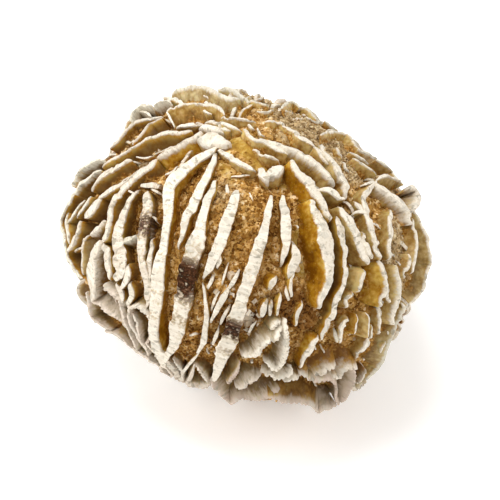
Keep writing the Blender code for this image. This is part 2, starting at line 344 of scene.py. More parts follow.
def corePart():
    # six square patches blown up to a ball, their shared edges merged by rounding
    count = coreForm["squares"]
    steps = np.tan(np.linspace(-math.pi / 4, math.pi / 4, count + 1))
    a, b = np.meshgrid(steps, steps, indexing="ij")
    one = np.ones_like(a)
    patches = ((one, a, b), (-one, b, a), (b, one, a), (a, -one, b), (a, b, one), (b, a, -one))
    corners = np.vstack([np.stack([axis.ravel() for axis in patch], axis=1) for patch in patches])
    rows = np.arange(count)[:, None] * (count + 1) + np.arange(count)
    square = np.stack([rows, rows + count + 1, rows + count + 2, rows + 1], axis=-1).reshape(-1, 4)
    faces = np.vstack([square + patch * (count + 1) ** 2 for patch in range(6)])
    _, keep, index = np.unique(np.round(corners, 5), axis=0, return_index=True, return_inverse=True)
    headings = unit(corners[keep])
    faces = index.reshape(-1)[faces]
    smooth = headings * sandRadius(headings)[:, None]
    shares = {kind: spotShare(headings, kind) for kind in ("amber", "stain", "pale")}
    height = np.zeros(len(headings))
    for form in (coreForm["clod"], coreForm["grain"]):
        height += form["height"] * (0.5 - grainNoise(smooth, form["size"], form["seed"]))
    height *= 1 - coreForm["amberSmooth"] * shares["amber"]
    points = placed(smooth + headings * height[:, None])
    points[:, 2] = np.maximum(points[:, 2], floorGap)
    return {"points": points, "faces": [tuple(face) for face in faces.tolist()],
            "marks": {"relief": height, **shares}}


# Blades

bladeForm = {
    "tipWidth": 0.3,  # mm
    "thinnest": 0.12,
    "rootShare": 0.8,  # the root's width over the rim's
    "rootCover": 1.4,  # mm of root inside the core
    "longestFlank": 15.0,
    "rimPoints": 9,
    "flankShares": (0.05, 0.13, 0.24, 0.38, 0.56, 0.78, 1.0),  # heights of the points down a flank
    "leastFacing": 0.15,  # so that the ends dive a little wherever a seen blade stands
    "leastShown": 0.6,  # share of a slanting rim's width that is taken to show
    "endShare": 0.45,  # a seen blade's width at its ends over the width given
    "highestShoulder": 0.8,
    "toothReach": 0.9,  # mm down the flank to which teeth are felt
    "wanderReach": 5,
    "waist": 0.6,  # share of the crust's depth below which a flank may draw in
    "toothLeast": 0.65,  # share of the saw that every tooth has
    "chipDepth": 1.4,
    "chipFrom": 0.72,  # level of the noise above which a rim is chipped
    "notchFrom": 0.7,
    "ledgePitch": 1.3,  # ledges to a mm of flank
    "ledgeDrift": 0.1,  # and how they climb along the rim
    "crumbs": {"size": 0.6, "seed": 41},  # mm
    "dents": {"size": 1.3, "seed": 43, "share": 0.6},
    # unevenness along a rim: the kind of noise, its size in mm, its amount, and a number added to the seed
    "wave": (lineNoise, 3.6, 0.30, 0),
    "levels": (stepNoise, 1.5, 0.10, 1),
    "grit": (lineNoise, 0.8, 0.07, 2),
    "toothDrift": (lineNoise, 2.0, 0.5, 3),
    "wander": (lineNoise, 5.3, 0.30, 6),
    "ruffle": (lineNoise, 2.6, 1, 7),
    "tilt": (lineNoise, 3.3, 0.25, 9),
    "chips": (stepNoise, 1.1, 1, 11),
    "toothHeight": (stepNoise, 2.6, 0.35, 12),
    "swell": (lineNoise, 4.1, 1, 20),
    "sideLevels": (stepNoise, 1.9, 0.16, 22),
    "sideGrit": (stepNoise, 0.8, 0.12, 24),
    "notches": (stepNoise, 1.2, 1, 26),
}


def rimRun(blade, step):
    # a smooth curve through the blade's places, cut at an even step, with the width at each cut
    places = list(blade["places"])
    places = [2 * places[0] - places[1], *places, 2 * places[-1] - places[-2]]
    cuts = 16  # between two places
    t = np.linspace(0, 1, cuts, endpoint=False)[:, None]
    runs = []
    for before, start, end, after in zip(places, places[1:], places[2:], places[3:]):
        bend = 2 * before - 5 * start + 4 * end - after
        turn = 3 * start - before - 3 * end + after
        runs.append(0.5 * (2 * start + (end - before) * t + bend * t * t + turn * t**3))
    fine = unit(np.vstack([*runs, places[-2][None]]))
    gone = travelled(fine)
    wanted = np.linspace(0, gone[-1], max(8, round(gone[-1] * stoneForm["halfHeight"] / step)))
    even = np.stack([np.interp(wanted, gone, fine[:, k]) for k in range(3)], axis=1)
    return unit(even), wanted * stoneForm["halfHeight"], np.interp(wanted, gone[::cuts], blade["widths"])


def bladePart(blade, look, seed):
    own = {**look, **blade}
    height, ragged, lean = own["height"], own["ragged"], math.radians(own["lean"])
    headings, along, width = rimRun(own, own["step"])
    count = len(headings)
    belly = endRise(along, own["taper"], own["point"])

    def uneven(kind, side=0):
        noise, size, amount, added = bladeForm[kind]
        return amount * noise(along, size, seed + added + side)

    # the rim's long wave moves the whole blade; chips and teeth only its edge
    lift = height - own["dive"] * (1 - belly) ** 2 + ragged * uneven("wave")
    teeth = np.abs((along / own["sawPitch"] + uneven("toothDrift")) % 1 - 0.3)
    drop = own["saw"] * teeth * (bladeForm["toothLeast"] + uneven("toothHeight"))
    drop = drop + ragged * (uneven("levels") + uneven("grit"))
    drop = drop + ragged * bladeForm["chipDepth"] * np.clip(uneven("chips") - bladeForm["chipFrom"], 0, 1)
    radius = bodyRadius(headings)
    base = headings * (radius + height)[:, None]
    forward = unit(np.gradient(base, axis=0))
    side = unit(np.cross(forward, headings))
    inward = side * math.sin(lean) - headings * math.cos(lean)
    across = unit(np.cross(forward, inward))
    if own["seen"]:
        line = unit(sightFrame()[0] - base)
        shown = np.linalg.norm(across - line * np.sum(across * line, axis=1, keepdims=True), axis=1)
        narrowed = bladeForm["endShare"] + (1 - bladeForm["endShare"]) * belly
        half = own["slim"] * width / 2 / np.maximum(shown, bladeForm["leastShown"]) * narrowed
    else:
        half = (bladeForm["tipWidth"] + (width - bladeForm["tipWidth"]) * belly) / 2
    edges, steps = [], []
    for k in range(2):
        edges.append(half * (1 + own["swell"] * ragged * uneven("swell", k)))
        notches = 0.5 * np.clip(uneven("notches", k) - bladeForm["notchFrom"], 0, 1)
        steps.append(half * ragged * (uneven("sideLevels", k) + uneven("sideGrit", k) + notches))
    wander = uneven("wander") + own["ruffle"] * uneven("ruffle")

    rim = headings * (radius + lift)[:, None]
    clear = np.maximum(radius + height - sandRadius(headings), 0.3)
    flank = np.minimum(clear / math.cos(lean) + bladeForm["rootCover"], bladeForm["longestFlank"])

    # the cross-section, from the bottom of one flank over the crown to the bottom of the other
    swing = np.sin(np.linspace(-math.pi / 2, math.pi / 2, bladeForm["rimPoints"]))
    fall = 1 - (1 - np.abs(swing) ** own["crown"]) ** (1 / own["crown"])
    shoulder = np.minimum(half * own["round"], bladeForm["highestShoulder"])
    tilt = uneven("tilt") * half
    full = [edge + step for edge, step in zip(edges, steps)]
    rows = [(full[int(s > 0)] * s, shoulder * f + tilt * s) for s, f in zip(swing, fall)]
    flanks = []
    for sign, edge, step in ((-1, edges[0], steps[0]), (1, edges[1], steps[1])):
        wall = []
        for k in bladeForm["flankShares"]:
            depth = shoulder + tilt * sign + (flank - shoulder - tilt * sign) * k
            under = np.clip((depth - own["crust"] * bladeForm["waist"]) / 0.5, 0, 1) * own["overhang"]
            down = depth * bladeForm["ledgePitch"] + bladeForm["ledgeDrift"] * along
            ledge = own["ledges"] * stepNoise(down, 1.0, seed + 8 + sign)
            wide = edge * (1 - (1 - bladeForm["rootShare"]) * k) - under * np.minimum(1, edge) + ledge
            wide = wide + step * np.exp(-depth / bladeForm["toothReach"])
            wall.append((sign * np.maximum(wide, bladeForm["thinnest"]), depth))
        flanks.append(wall)
    section = flanks[0][::-1] + rows + flanks[1]
    ring = len(section)
    around = np.ones(ring)
    reach = np.stack([row[0] * np.ones(count) for row in section], axis=1)
    depth = np.stack([row[1] * np.ones(count) for row in section], axis=1)
    sunk = depth + drop[:, None] * np.exp(-depth / bladeForm["toothReach"])
    swerve = wander[:, None] * np.exp(-depth / bladeForm["wanderReach"])
    points = rim[:, None] + across[:, None] * (reach + swerve)[..., None] + inward[:, None] * sunk[..., None]

    # crumbly surface, pushed along the local outward direction
    outward = across[:, None] * (reach / np.maximum(half[:, None], 0.1))[..., None]
    outward = outward - inward[:, None] * np.exp(-depth / 0.5)[..., None]
    outward /= np.maximum(np.linalg.norm(outward, axis=2, keepdims=True), 1e-6)
    flat = points.reshape(-1, 3)
    crumbs, dents = bladeForm["crumbs"], bladeForm["dents"]
    rough = 0.5 - grainNoise(flat, crumbs["size"], crumbs["seed"])
    rough = own["crumble"] * (rough + dents["share"] * smoothNoise(flat, dents["size"], dents["seed"]))
    thick = np.minimum(1, half / 0.5)[:, None] * around
    points = points + outward * (rough.reshape(count, ring) * thick)[..., None]

    ringIndex = np.arange(ring)
    start = np.arange(count - 1)[:, None] * ring
    here, nextUp = start + ringIndex, start + (ringIndex + 1) % ring
    quads = np.stack([here, nextUp, nextUp + ring, here + ring], axis=-1).reshape(-1, 4)
    faces = [tuple(face) for face in quads.tolist()]
    faces.append(tuple(range(ring))[::-1])
    faces.append(tuple(range((count - 1) * ring, count * ring)))

    flat = points.reshape(-1, 3)
    reached = np.linalg.norm(flat, axis=1)
    bare = np.zeros((count, ring))
    for place, spread, amount in own["bare"]:
        away = np.abs((along / along[-1] - place) / spread)
        bare = np.maximum(bare, amount * np.exp(-(away**3))[:, None] * around)
    seeded = np.full((count, ring), seed * 3.7)
    layer = np.stack([along[:, None] * around, reach + np.sign(reach) * depth, seeded], axis=2)
    marks = {
        "layer": layer.reshape(-1, 3),  # along the rim and down the flank, for the striations
        "crustShare": (depth / own["crust"] / (0.5 + 0.5 * belly[:, None])).ravel(),
        "depth": depth.ravel(),
        "aboveSand": reached - sandRadius(flat / reached[:, None]),
        "bare": bare.ravel(),
        **{mark: np.full(count * ring, own[mark]) for mark in ("blush", "honey", "dusk", "ribs")},
    }
    solid = placed(flat)
    solid[:, 2] = np.maximum(solid[:, 2], floorGap)
    return {"points": solid, "faces": faces, "marks": marks}


def bladeParts(group, firstSeed):
    return [bladePart(blade, group["look"], firstSeed + 17 * k) for k, blade in enumerate(group["blades"])]


# Blades, each with its height over the body in mm, its lean in degrees and its course. A positive lean swings
# the root to the right of someone who walks along the rim.
plainLook = {
    "step": 0.33,  # mm between cross-sections
    "crust": 0.8,  # mm of white crust down the flanks
    "blush": 0.0,  # from cream to pinkish grey, or below 0 to greenish white
    "honey": 1.0,  # how amber the flanks are
    "dusk": 0.0,  # how far painted shade darkens them further down, or below 0 how pale they are
    "slim": 1.0,  # factor on the rim's width
    "taper": 6.0,  # mm over which an end of a ruled blade narrows
    "point": 0.9,
    "dive": 1.3,  # mm that an end sinks
    "ragged": 1.0,
    "swell": 0.12,  # how much the rim's width wavers
    "saw": 0.0,  # how far the teeth stand out
    "sawPitch": 0.9,  # mm from tooth to tooth
    "ruffle": 0.05,
    "crown": 5.0,  # how boxy the rim is: 2 is round
    "round": 0.35,  # the shoulder's depth over half the rim's width
    "ribs": 1.0,  # striations across the rim
    "overhang": 0.12,  # mm that a flank draws in under the crust
    "ledges": 0.05,
    "crumble": 0.12,
    "bare": (),  # places where the crust is missing
}
knob = {"crown": 2.3, "round": 0.9, "ribs": 0.5, "swell": 0.12, "ragged": 1.0, "blush": 0.12}
frontBlades = {
    "look": {**plainLook, "crust": 0.45, "crown": 6.0, "round": 0.2, "ribs": 0.6, "ragged": 0.75},
    "blades": (
        seen(0.2, 0, (218, 148, 3), (212, 151, 6), (204, 155, 7), (196, 160, 8), (188, 166, 10),
             (181, 172, 11), (175, 178, 12), (170, 185, 11), (168, 192, 10), (167, 202, 10), (167, 212, 10),
             (166, 222, 8), (165, 232, 7), (164, 242, 7), (162, 252, 9), (160, 262, 10), (159, 272, 11),
             (158, 283, 12), (157, 293, 13), (156, 303, 13), (155, 313, 11), (154, 323, 10), (153, 332, 11),
             (154, 341, 13), (157, 350, 13), (162, 358, 10), (168, 364, 5),
             bare=((254, 2, 0.5), (292, 3, 0.5), (301, 2, 0.45), (316, 4, 0.4))),
        seen(0.0, 0, (218, 155, 3), (214, 161, 5), (210, 168, 7), (206, 176, 8), (202, 184, 9),
             (198, 192, 9), (194, 200, 9), (191, 208, 9), (187, 216, 8), (185, 224, 7), (183, 231, 5),
             (181, 239, 4), (179, 250, 2)),
        seen(0.3, 0, (217, 180, 2), (213, 190, 6), (208, 200, 8), (205, 210, 8), (202, 220, 10),
             (200, 230, 13), (197, 240, 15), (194, 250, 17), (190, 260, 18), (188, 270, 18), (186, 280, 19),
             (184, 290, 18), (183, 300, 18), (181, 310, 18), (179, 320, 16), (177, 330, 15), (175, 340, 12),
             (172, 350, 8), (169, 358, 2), bare=((250, 9, 0.45), (280, 22, 1.0), (320, 7, 0.6))),
        seen(0.1, 0, (239, 190, 5), (236, 197, 9), (232, 206, 11), (229, 216, 12), (225, 226, 12),
             (222, 236, 12), (218, 247, 12), (214, 257, 11), (210, 265, 8), (206, 272, 5), (203, 279, 2)),
        seen(-0.2, 0, (220, 252, 3), (219, 260, 5), (218, 269, 2)),
        seen(-0.4, 0, (216, 271, 2), (212, 280, 4), (208, 289, 2)),
        seen(-0.3, 0, (203, 281, 2), (204, 290, 3), (205, 300, 3), (206, 310, 4), (206, 320, 5),
             (204, 330, 6), (203, 339, 6), (201, 346, 4), (198, 352, 2)),
        seen(-0.3, 0, (200, 350, 2), (196, 356, 2), (191, 362, 3), (186, 368, 3), (183, 373, 2)),
        seen(-0.2, 0, (230, 284, 3), (227, 291, 6), (223, 299, 7), (219, 307, 6), (215, 315, 4),
             (211, 323, 2)),
        seen(-0.6, 0, (229, 262, 1), (226, 270, 2), (223, 279, 2), (222, 286, 2)),
        seen(-0.7, 0, (224, 287, 1), (218, 294, 2), (214, 301, 3), (211, 311, 2)),
        seen(-0.3, 0, (239, 268, 3), (236, 275, 4), (233, 282, 5), (229, 289, 3)),
        seen(-0.4, 0, (231, 302, 3), (228, 309, 4), (224, 316, 4), (221, 324, 2)),
        seen(-0.4, 0, (219, 325, 2), (217, 333, 4), (214, 343, 2)),
        seen(-0.6, 0, (190, 332, 2), (195, 334, 2), (200, 333, 2)),
        seen(0.3, 0, (270, 195, 3), (269, 205, 6), (267, 215, 7), (265, 225, 7), (263, 235, 9),
             (260, 245, 12), (257, 255, 13), (254, 265, 13), (250, 275, 14), (247, 285, 13), (243, 295, 13),
             (240, 305, 13), (237, 315, 15), (234, 325, 16), (232, 335, 17), (229, 343, 18), (225, 352, 17),
             (221, 361, 14), (217, 369, 9), (213, 378, 2),
             bare=((329, 11, 1.0), (351, 5, 0.6), (275, 8, 0.35))),
        seen(0.0, 0, (282, 195, 3), (283, 203, 7), (285, 212, 9), (286, 222, 11), (286, 232, 11),
             (287, 242, 9), (286, 250, 7), (283, 259, 5), (280, 267, 3)),
        seen(0.0, 15, (291, 241, 2), (295, 250, 7), (297, 258, 9), (293, 266, 8), (290, 274, 6),
             (288, 280, 2)),
        seen(-0.8, 0, (248, 193, 1), (252, 199, 2), (255, 206, 1)),
        seen(-0.9, 0, (231, 178, 2), (238, 177, 2), (245, 176, 2), (250, 175, 1), dive=0.4, honey=0.7,
             crust=0.2),
        seen(-0.6, 0, (228, 186, 2), (228, 193, 4), (229, 201, 2)),
        seen(-0.5, 20, (277, 276, 3), (273, 283, 6), (269, 290, 3)),
        seen(-0.5, 20, (268, 299, 4), (265, 307, 6), (261, 316, 3)),
        seen(-0.5, -20, (257, 320, 3), (252, 326, 3), (248, 331, 2)),
        seen(-0.8, 0, (292, 226, 1), (295, 231, 2)),
        seen(-0.6, 0, (286, 284, 2), (286, 292, 3), (287, 300, 2)),
    ),
}
rightBlades = {
    "look": {
        **plainLook, "crust": 0.45, "ragged": 1.3, "dusk": 0.1, "honey": 0.55, "ribs": 0.4, "crown": 6.0,
        "round": 0.22,
    },
    "blades": (
        strip(0.1, 24, (310, 200, 3), (315, 207, 5), (318, 214, 8), (322, 222, 10), (325, 231, 12),
              (327, 240, 13), (329, 250, 11), (330, 260, 9), (330, 270, 7), (329, 280, 5), (326, 290, 4),
              (321, 299, 3), (316, 308, 2), crust=0.6, honey=1.0, dusk=0.0),
        strip(0.0, 24, (290, 162, 2), (296, 167, 4), (302, 173, 5), (308, 179, 7), (313, 185, 8),
              (317, 191, 8), (321, 198, 6), (325, 205, 5), (328, 214, 3), (330, 221, 2), crust=0.7,
              honey=1.0, dusk=0.0),
        strip(0.0, 10, (316, 191, 3), (323, 189, 4), (330, 190, 5), (335, 194, 5), (339, 198, 3),
              (343, 200, 2)),
        strip(-0.3, 14, (336, 216, 3), (339, 221, 5), (341, 228, 6), (343, 235, 6), (344, 243, 5),
              (345, 251, 4), (345, 259, 3), (345, 267, 3), (345, 275, 4), (344, 283, 4), (341, 291, 4),
              (337, 298, 5), (335, 306, 5), (334, 314, 5), (330, 321, 5), (327, 328, 4), (323, 334, 3),
              (320, 339, 2), honey=1.0, crust=0.25, dusk=0.7),
        strip(-0.2, 30, (366, 312, 2), (369, 319, 3), (368, 328, 3), (364, 337, 2), crust=0.1, dusk=-0.3,
              blush=-0.4),
        strip(-0.4, 12, (372, 325, 1), (373, 332, 2), (370, 341, 2), (366, 347, 1), crust=0.2, blush=-0.6),
        strip(-0.5, 25, (356, 314, 1), (358, 321, 2), (356, 328, 3), (352, 334, 1), crust=0.1, honey=0.9),
        strip(-0.6, 15, (281, 292, 1), (281, 300, 3), (279, 308, 3), (276, 315, 1), crust=0.3, honey=1.0,
              dusk=-0.4),
        strip(-0.7, 10, (272, 300, 2), (271, 308, 3), (269, 315, 2), crust=0.8),
        strip(-0.6, 10, (293, 270, 1), (292, 279, 2), (290, 288, 3), (289, 297, 2), crust=0.2, honey=1.0,
              dusk=-0.4),
        strip(-0.7, 10, (301, 300, 1), (300, 309, 3), (297, 317, 3), (293, 325, 1), crust=0.2, honey=1.0,
              dusk=-0.2),
        strip(-0.3, 12, (318, 335, 3), (314, 342, 6), (311, 348, 6), (307, 354, 5), (303, 360, 3),
              (298, 367, 2), honey=1.0),
        strip(-0.1, 20, (338, 207, 2), (344, 213, 5), (349, 219, 7), (353, 226, 8), (356, 233, 8),
              (359, 241, 7), (362, 249, 7), (365, 257, 6), (367, 265, 4)),
        strip(-0.6, 25, (364, 270, 2), (363, 278, 4), (360, 286, 4), (356, 292, 2), crust=0.5, dusk=-0.6),
        strip(-0.3, 12, (361, 232, 2), (364, 239, 4), (367, 246, 5), (370, 253, 5), (371, 259, 2)),
        strip(-0.1, 18, (374, 184, 4), (369, 190, 6), (366, 197, 6), (366, 204, 6), (368, 211, 6),
              (369, 218, 6), (371, 225, 7), (373, 232, 6), (376, 239, 6), (378, 246, 6), (379, 253, 4),
              (379, 260, 2)),
        strip(-0.3, 10, (354, 202, 2), (358, 204, 4), (362, 208, 4), (366, 212, 3)),
        strip(-0.3, 10, (351, 217, 2), (356, 213, 4), (361, 212, 5), (365, 215, 3)),
        strip(-0.3, 10, (361, 186, 2), (366, 184, 3), (372, 183, 3)),
        strip(0.0, 15, (390, 210, 3), (391, 218, 5), (391, 225, 4), (392, 231, 6), (391, 238, 4),
              (390, 245, 4), (391, 252, 5), (389, 260, 3)),
        strip(0.5, 22, (376, 183, 3), (381, 186, 6), (387, 190, 7), (393, 195, 8), (399, 200, 9),
              (405, 205, 10), (409, 211, 8), (411, 218, 5), (411, 225, 3), crust=1.8),
        strip(1.7, 8, (409, 187, 3), (414, 187, 6), (419, 190, 8), (421, 196, 9), (419, 203, 8),
              (415, 209, 4), crust=2.5, **knob),
        strip(0.2, 10, (412, 218, 2), (414, 226, 2), (416, 235, 2), (417, 244, 2), (416, 252, 2),
              (415, 260, 2), (414, 267, 2), (412, 274, 2), crust=0.4),
        strip(0.4, 34, (414, 212, 3), (419, 219, 3), (423, 228, 3), (427, 238, 3), (429, 248, 3),
              (430, 258, 3), (430, 267, 3), (427, 275, 3), (425, 283, 3), (423, 290, 3), (418, 298, 3),
              (410, 304, 2), crust=0.5, honey=0.3),
        strip(-0.1, 25, (410, 254, 3), (412, 260, 3), (410, 267, 3), (407, 274, 3), (405, 279, 2),
              crust=0.5),
        strip(-0.2, 30, (378, 261, 3), (383, 267, 5), (386, 275, 5), (387, 284, 4), (386, 293, 3),
              (383, 301, 3), (378, 307, 2), crust=0.6, honey=1.0, dusk=-0.5),
        strip(0.1, 24, (396, 265, 3), (399, 273, 4), (401, 281, 5), (401, 289, 5), (400, 297, 5),
              (398, 305, 5), (396, 312, 5), (393, 318, 4), (391, 324, 2), crust=0.9, dusk=-0.3),
        strip(0.0, 10, (402, 302, 2), (405, 307, 3), (402, 313, 2)),
        strip(-0.4, 15, (387, 286, 2), (388, 294, 3), (388, 303, 2)),
        strip(-0.6, 15, (378, 309, 1), (380, 316, 2), (379, 325, 2), (376, 333, 1)),
        strip(-0.5, 10, (367, 336, 3), (366, 343, 4), (363, 349, 4), (359, 354, 3), (355, 358, 2)),
        strip(-0.5, 10, (347, 317, 2), (344, 325, 3), (341, 332, 3), (338, 342, 2)),
        strip(-0.2, 10, (388, 330, 3), (388, 338, 3)),
        strip(-0.3, 10, (385, 340, 2), (383, 346, 2), (380, 353, 1)),
        strip(0.3, 32, (408, 307, 3), (403, 313, 3), (399, 322, 3), (395, 332, 4), (391, 342, 4),
              (387, 352, 4), (384, 362, 4), (380, 371, 5), (375, 378, 5), (371, 386, 3), crust=0.7,
              honey=0.3, blush=-0.6),
        strip(-0.6, 20, (352, 292, 2), (347, 300, 3), (345, 308, 2)),
        strip(-0.7, 20, (333, 328, 2), (336, 334, 3), (335, 341, 2), blush=-0.5),
    ),
}
upperBlades = {
    "look": {
        **plainLook, "crust": 0.4, "ragged": 1.3, "dusk": -0.15, "honey": 0.55, "ribs": 0.45, "crown": 6.0,
        "round": 0.22,
    },
    "blades": (
        seen(0.4, 26, (171, 94, 3), (178, 89, 4), (188, 87, 5), (200, 86, 5), (209, 87, 5), (216, 90, 4),
             (222, 94, 3), (230, 98, 3), (239, 99, 2), crust=0.7, honey=0.15, blush=-0.3, dive=14),
        seen(0.3, 10, (218, 89, 2), (228, 88, 3), (236, 91, 3), (242, 96, 3), (249, 101, 2), blush=-0.6,
             crust=0.9, honey=0.2),
        seen(0.1, 15, (164, 97, 2), (171, 97, 4), (177, 99, 5), (183, 103, 3)),
        seen(0.0, 26, (167, 111, 3), (173, 107, 5), (180, 105, 5), (188, 103, 5), (196, 103, 5),
             (205, 104, 4), (212, 105, 4), (218, 107, 4), (222, 110, 3), (225, 115, 2), crust=0.4),
        seen(-0.6, 0, (203, 108, 2), (206, 113, 2), (212, 116, 2)),
        seen(-0.5, 0, (166, 112, 2), (170, 119, 2), (174, 127, 2)),
        seen(-0.4, 15, (222, 119, 2), (232, 118, 2), (240, 119, 2), (248, 120, 2), (256, 123, 2)),
        seen(-0.6, 15, (248, 126, 1), (252, 128, 2), (255, 131, 1)),
        seen(-0.6, 15, (257, 131, 1), (261, 134, 2), (264, 137, 1)),
        seen(0.0, 24, (265, 122, 2), (272, 120, 2), (278, 120, 2), (285, 123, 3), (292, 128, 4),
             (298, 132, 5), (302, 137, 7), (308, 140, 6), (313, 144, 5), (316, 148, 3)),
        seen(-0.3, 15, (311, 148, 3), (318, 151, 4), (323, 157, 3), (327, 163, 2), (330, 168, 2)),
        seen(0.0, 22, (319, 146, 2), (325, 152, 3), (330, 158, 3), (335, 164, 4), (339, 170, 6),
             (343, 177, 7), (346, 184, 7), (347, 191, 5), (345, 199, 3), crust=0.8),
        seen(-0.4, 10, (335, 149, 2), (339, 153, 2), (341, 159, 1)),
        seen(-0.4, 0, (342, 163, 2), (346, 168, 2), (349, 174, 1)),
        seen(-0.3, -12, (177, 129, 2), (186, 126, 3), (195, 125, 3), (201, 124, 2), honey=0.6),
        seen(-0.2, 0, (199, 129, 3), (205, 126, 7), (212, 127, 8), (218, 130, 6), (224, 134, 3), crust=1.6,
             **knob),
        seen(0.4, 6, (196, 141, 6), (202, 138, 13), (209, 137, 17), (216, 138, 16), (223, 141, 12),
             (231, 144, 6), crust=1.5, **knob),
        seen(-0.3, 15, (206, 123, 2), (215, 122, 3), (224, 123, 3), (231, 126, 3), (236, 129, 3),
             (242, 132, 2)),
        seen(-0.4, 15, (217, 127, 2), (225, 129, 4), (232, 131, 2)),
        seen(-0.1, 28, (243, 130, 2), (249, 135, 3), (256, 139, 4), (263, 141, 4), (270, 144, 5),
             (277, 148, 5), (283, 151, 5), (288, 155, 3)),
        seen(0.1, 30, (262, 139, 2), (270, 141, 2), (277, 143, 4), (284, 145, 4), (292, 147, 5),
             (299, 150, 5), (305, 154, 6), (312, 158, 7), (318, 163, 8), (324, 168, 8), (330, 174, 7),
             (333, 180, 5), (334, 187, 2), crust=1.1),
        seen(0.1, 14, (217, 152, 3), (224, 153, 4), (230, 156, 5), (238, 161, 6), (245, 165, 6),
             (251, 168, 5), (256, 172, 3)),
        seen(0.1, 0, (258, 170, 4), (263, 174, 10), (267, 180, 8), (268, 186, 3), crust=1.2),
        seen(0.2, 15, (264, 176, 8), (270, 172, 12), (277, 169, 10), (283, 167, 4), crust=1.4),
        seen(-0.5, 25, (252, 151, 2), (262, 154, 2), (272, 158, 2), (281, 163, 2)),
        seen(-0.1, 24, (352, 159, 1), (358, 161, 3), (364, 164, 4), (369, 167, 4), (374, 170, 3),
             (377, 174, 2), blush=-0.4),
        seen(-0.2, 10, (350, 152, 1), (357, 155, 2), (364, 159, 2), (369, 164, 1), blush=-0.4),
        seen(0.0, 10, (357, 150, 1), (364, 153, 2), (371, 155, 2), (379, 159, 2), blush=-0.6),
        seen(0.1, 28, (320, 134, 1), (326, 132, 2), (332, 131, 3), (339, 132, 3), (345, 135, 3),
             (350, 139, 3), (355, 144, 2), (361, 150, 2)),
        seen(-0.3, 0, (302, 115, 1), (307, 118, 2), (311, 121, 1)),
        seen(-0.2, 0, (312, 120, 2), (318, 122, 2), (324, 121, 2), (329, 124, 1), blush=-0.6),
        seen(0.1, 0, (324, 122, 2), (331, 126, 3), (338, 130, 2), blush=-0.8),
        seen(0.3, 15, (299, 105, 2), (305, 109, 4), (311, 113, 4), (317, 119, 2), blush=-0.8),
        seen(0.3, 28, (280, 108, 2), (286, 103, 4), (291, 102, 4), (296, 104, 4), (300, 108, 2), blush=-0.7),
        seen(0.1, 15, (249, 102, 2), (256, 101, 3), (262, 103, 3), (269, 107, 2), blush=-0.7),
        seen(-0.3, 10, (257, 111, 2), (265, 112, 2), (273, 111, 2), blush=-0.5),
        seen(0.3, 28, (376, 180, 2), (383, 176, 4), (389, 176, 3), (395, 178, 3), (401, 182, 2), honey=0.4),
        seen(0.2, 15, (392, 172, 2), (398, 178, 2), (404, 185, 2), blush=-0.7, honey=0.4),
        seen(0.2, 0, (376, 160, 2), (384, 165, 3), (392, 172, 2), blush=-0.7, honey=0.4),
    ),
}
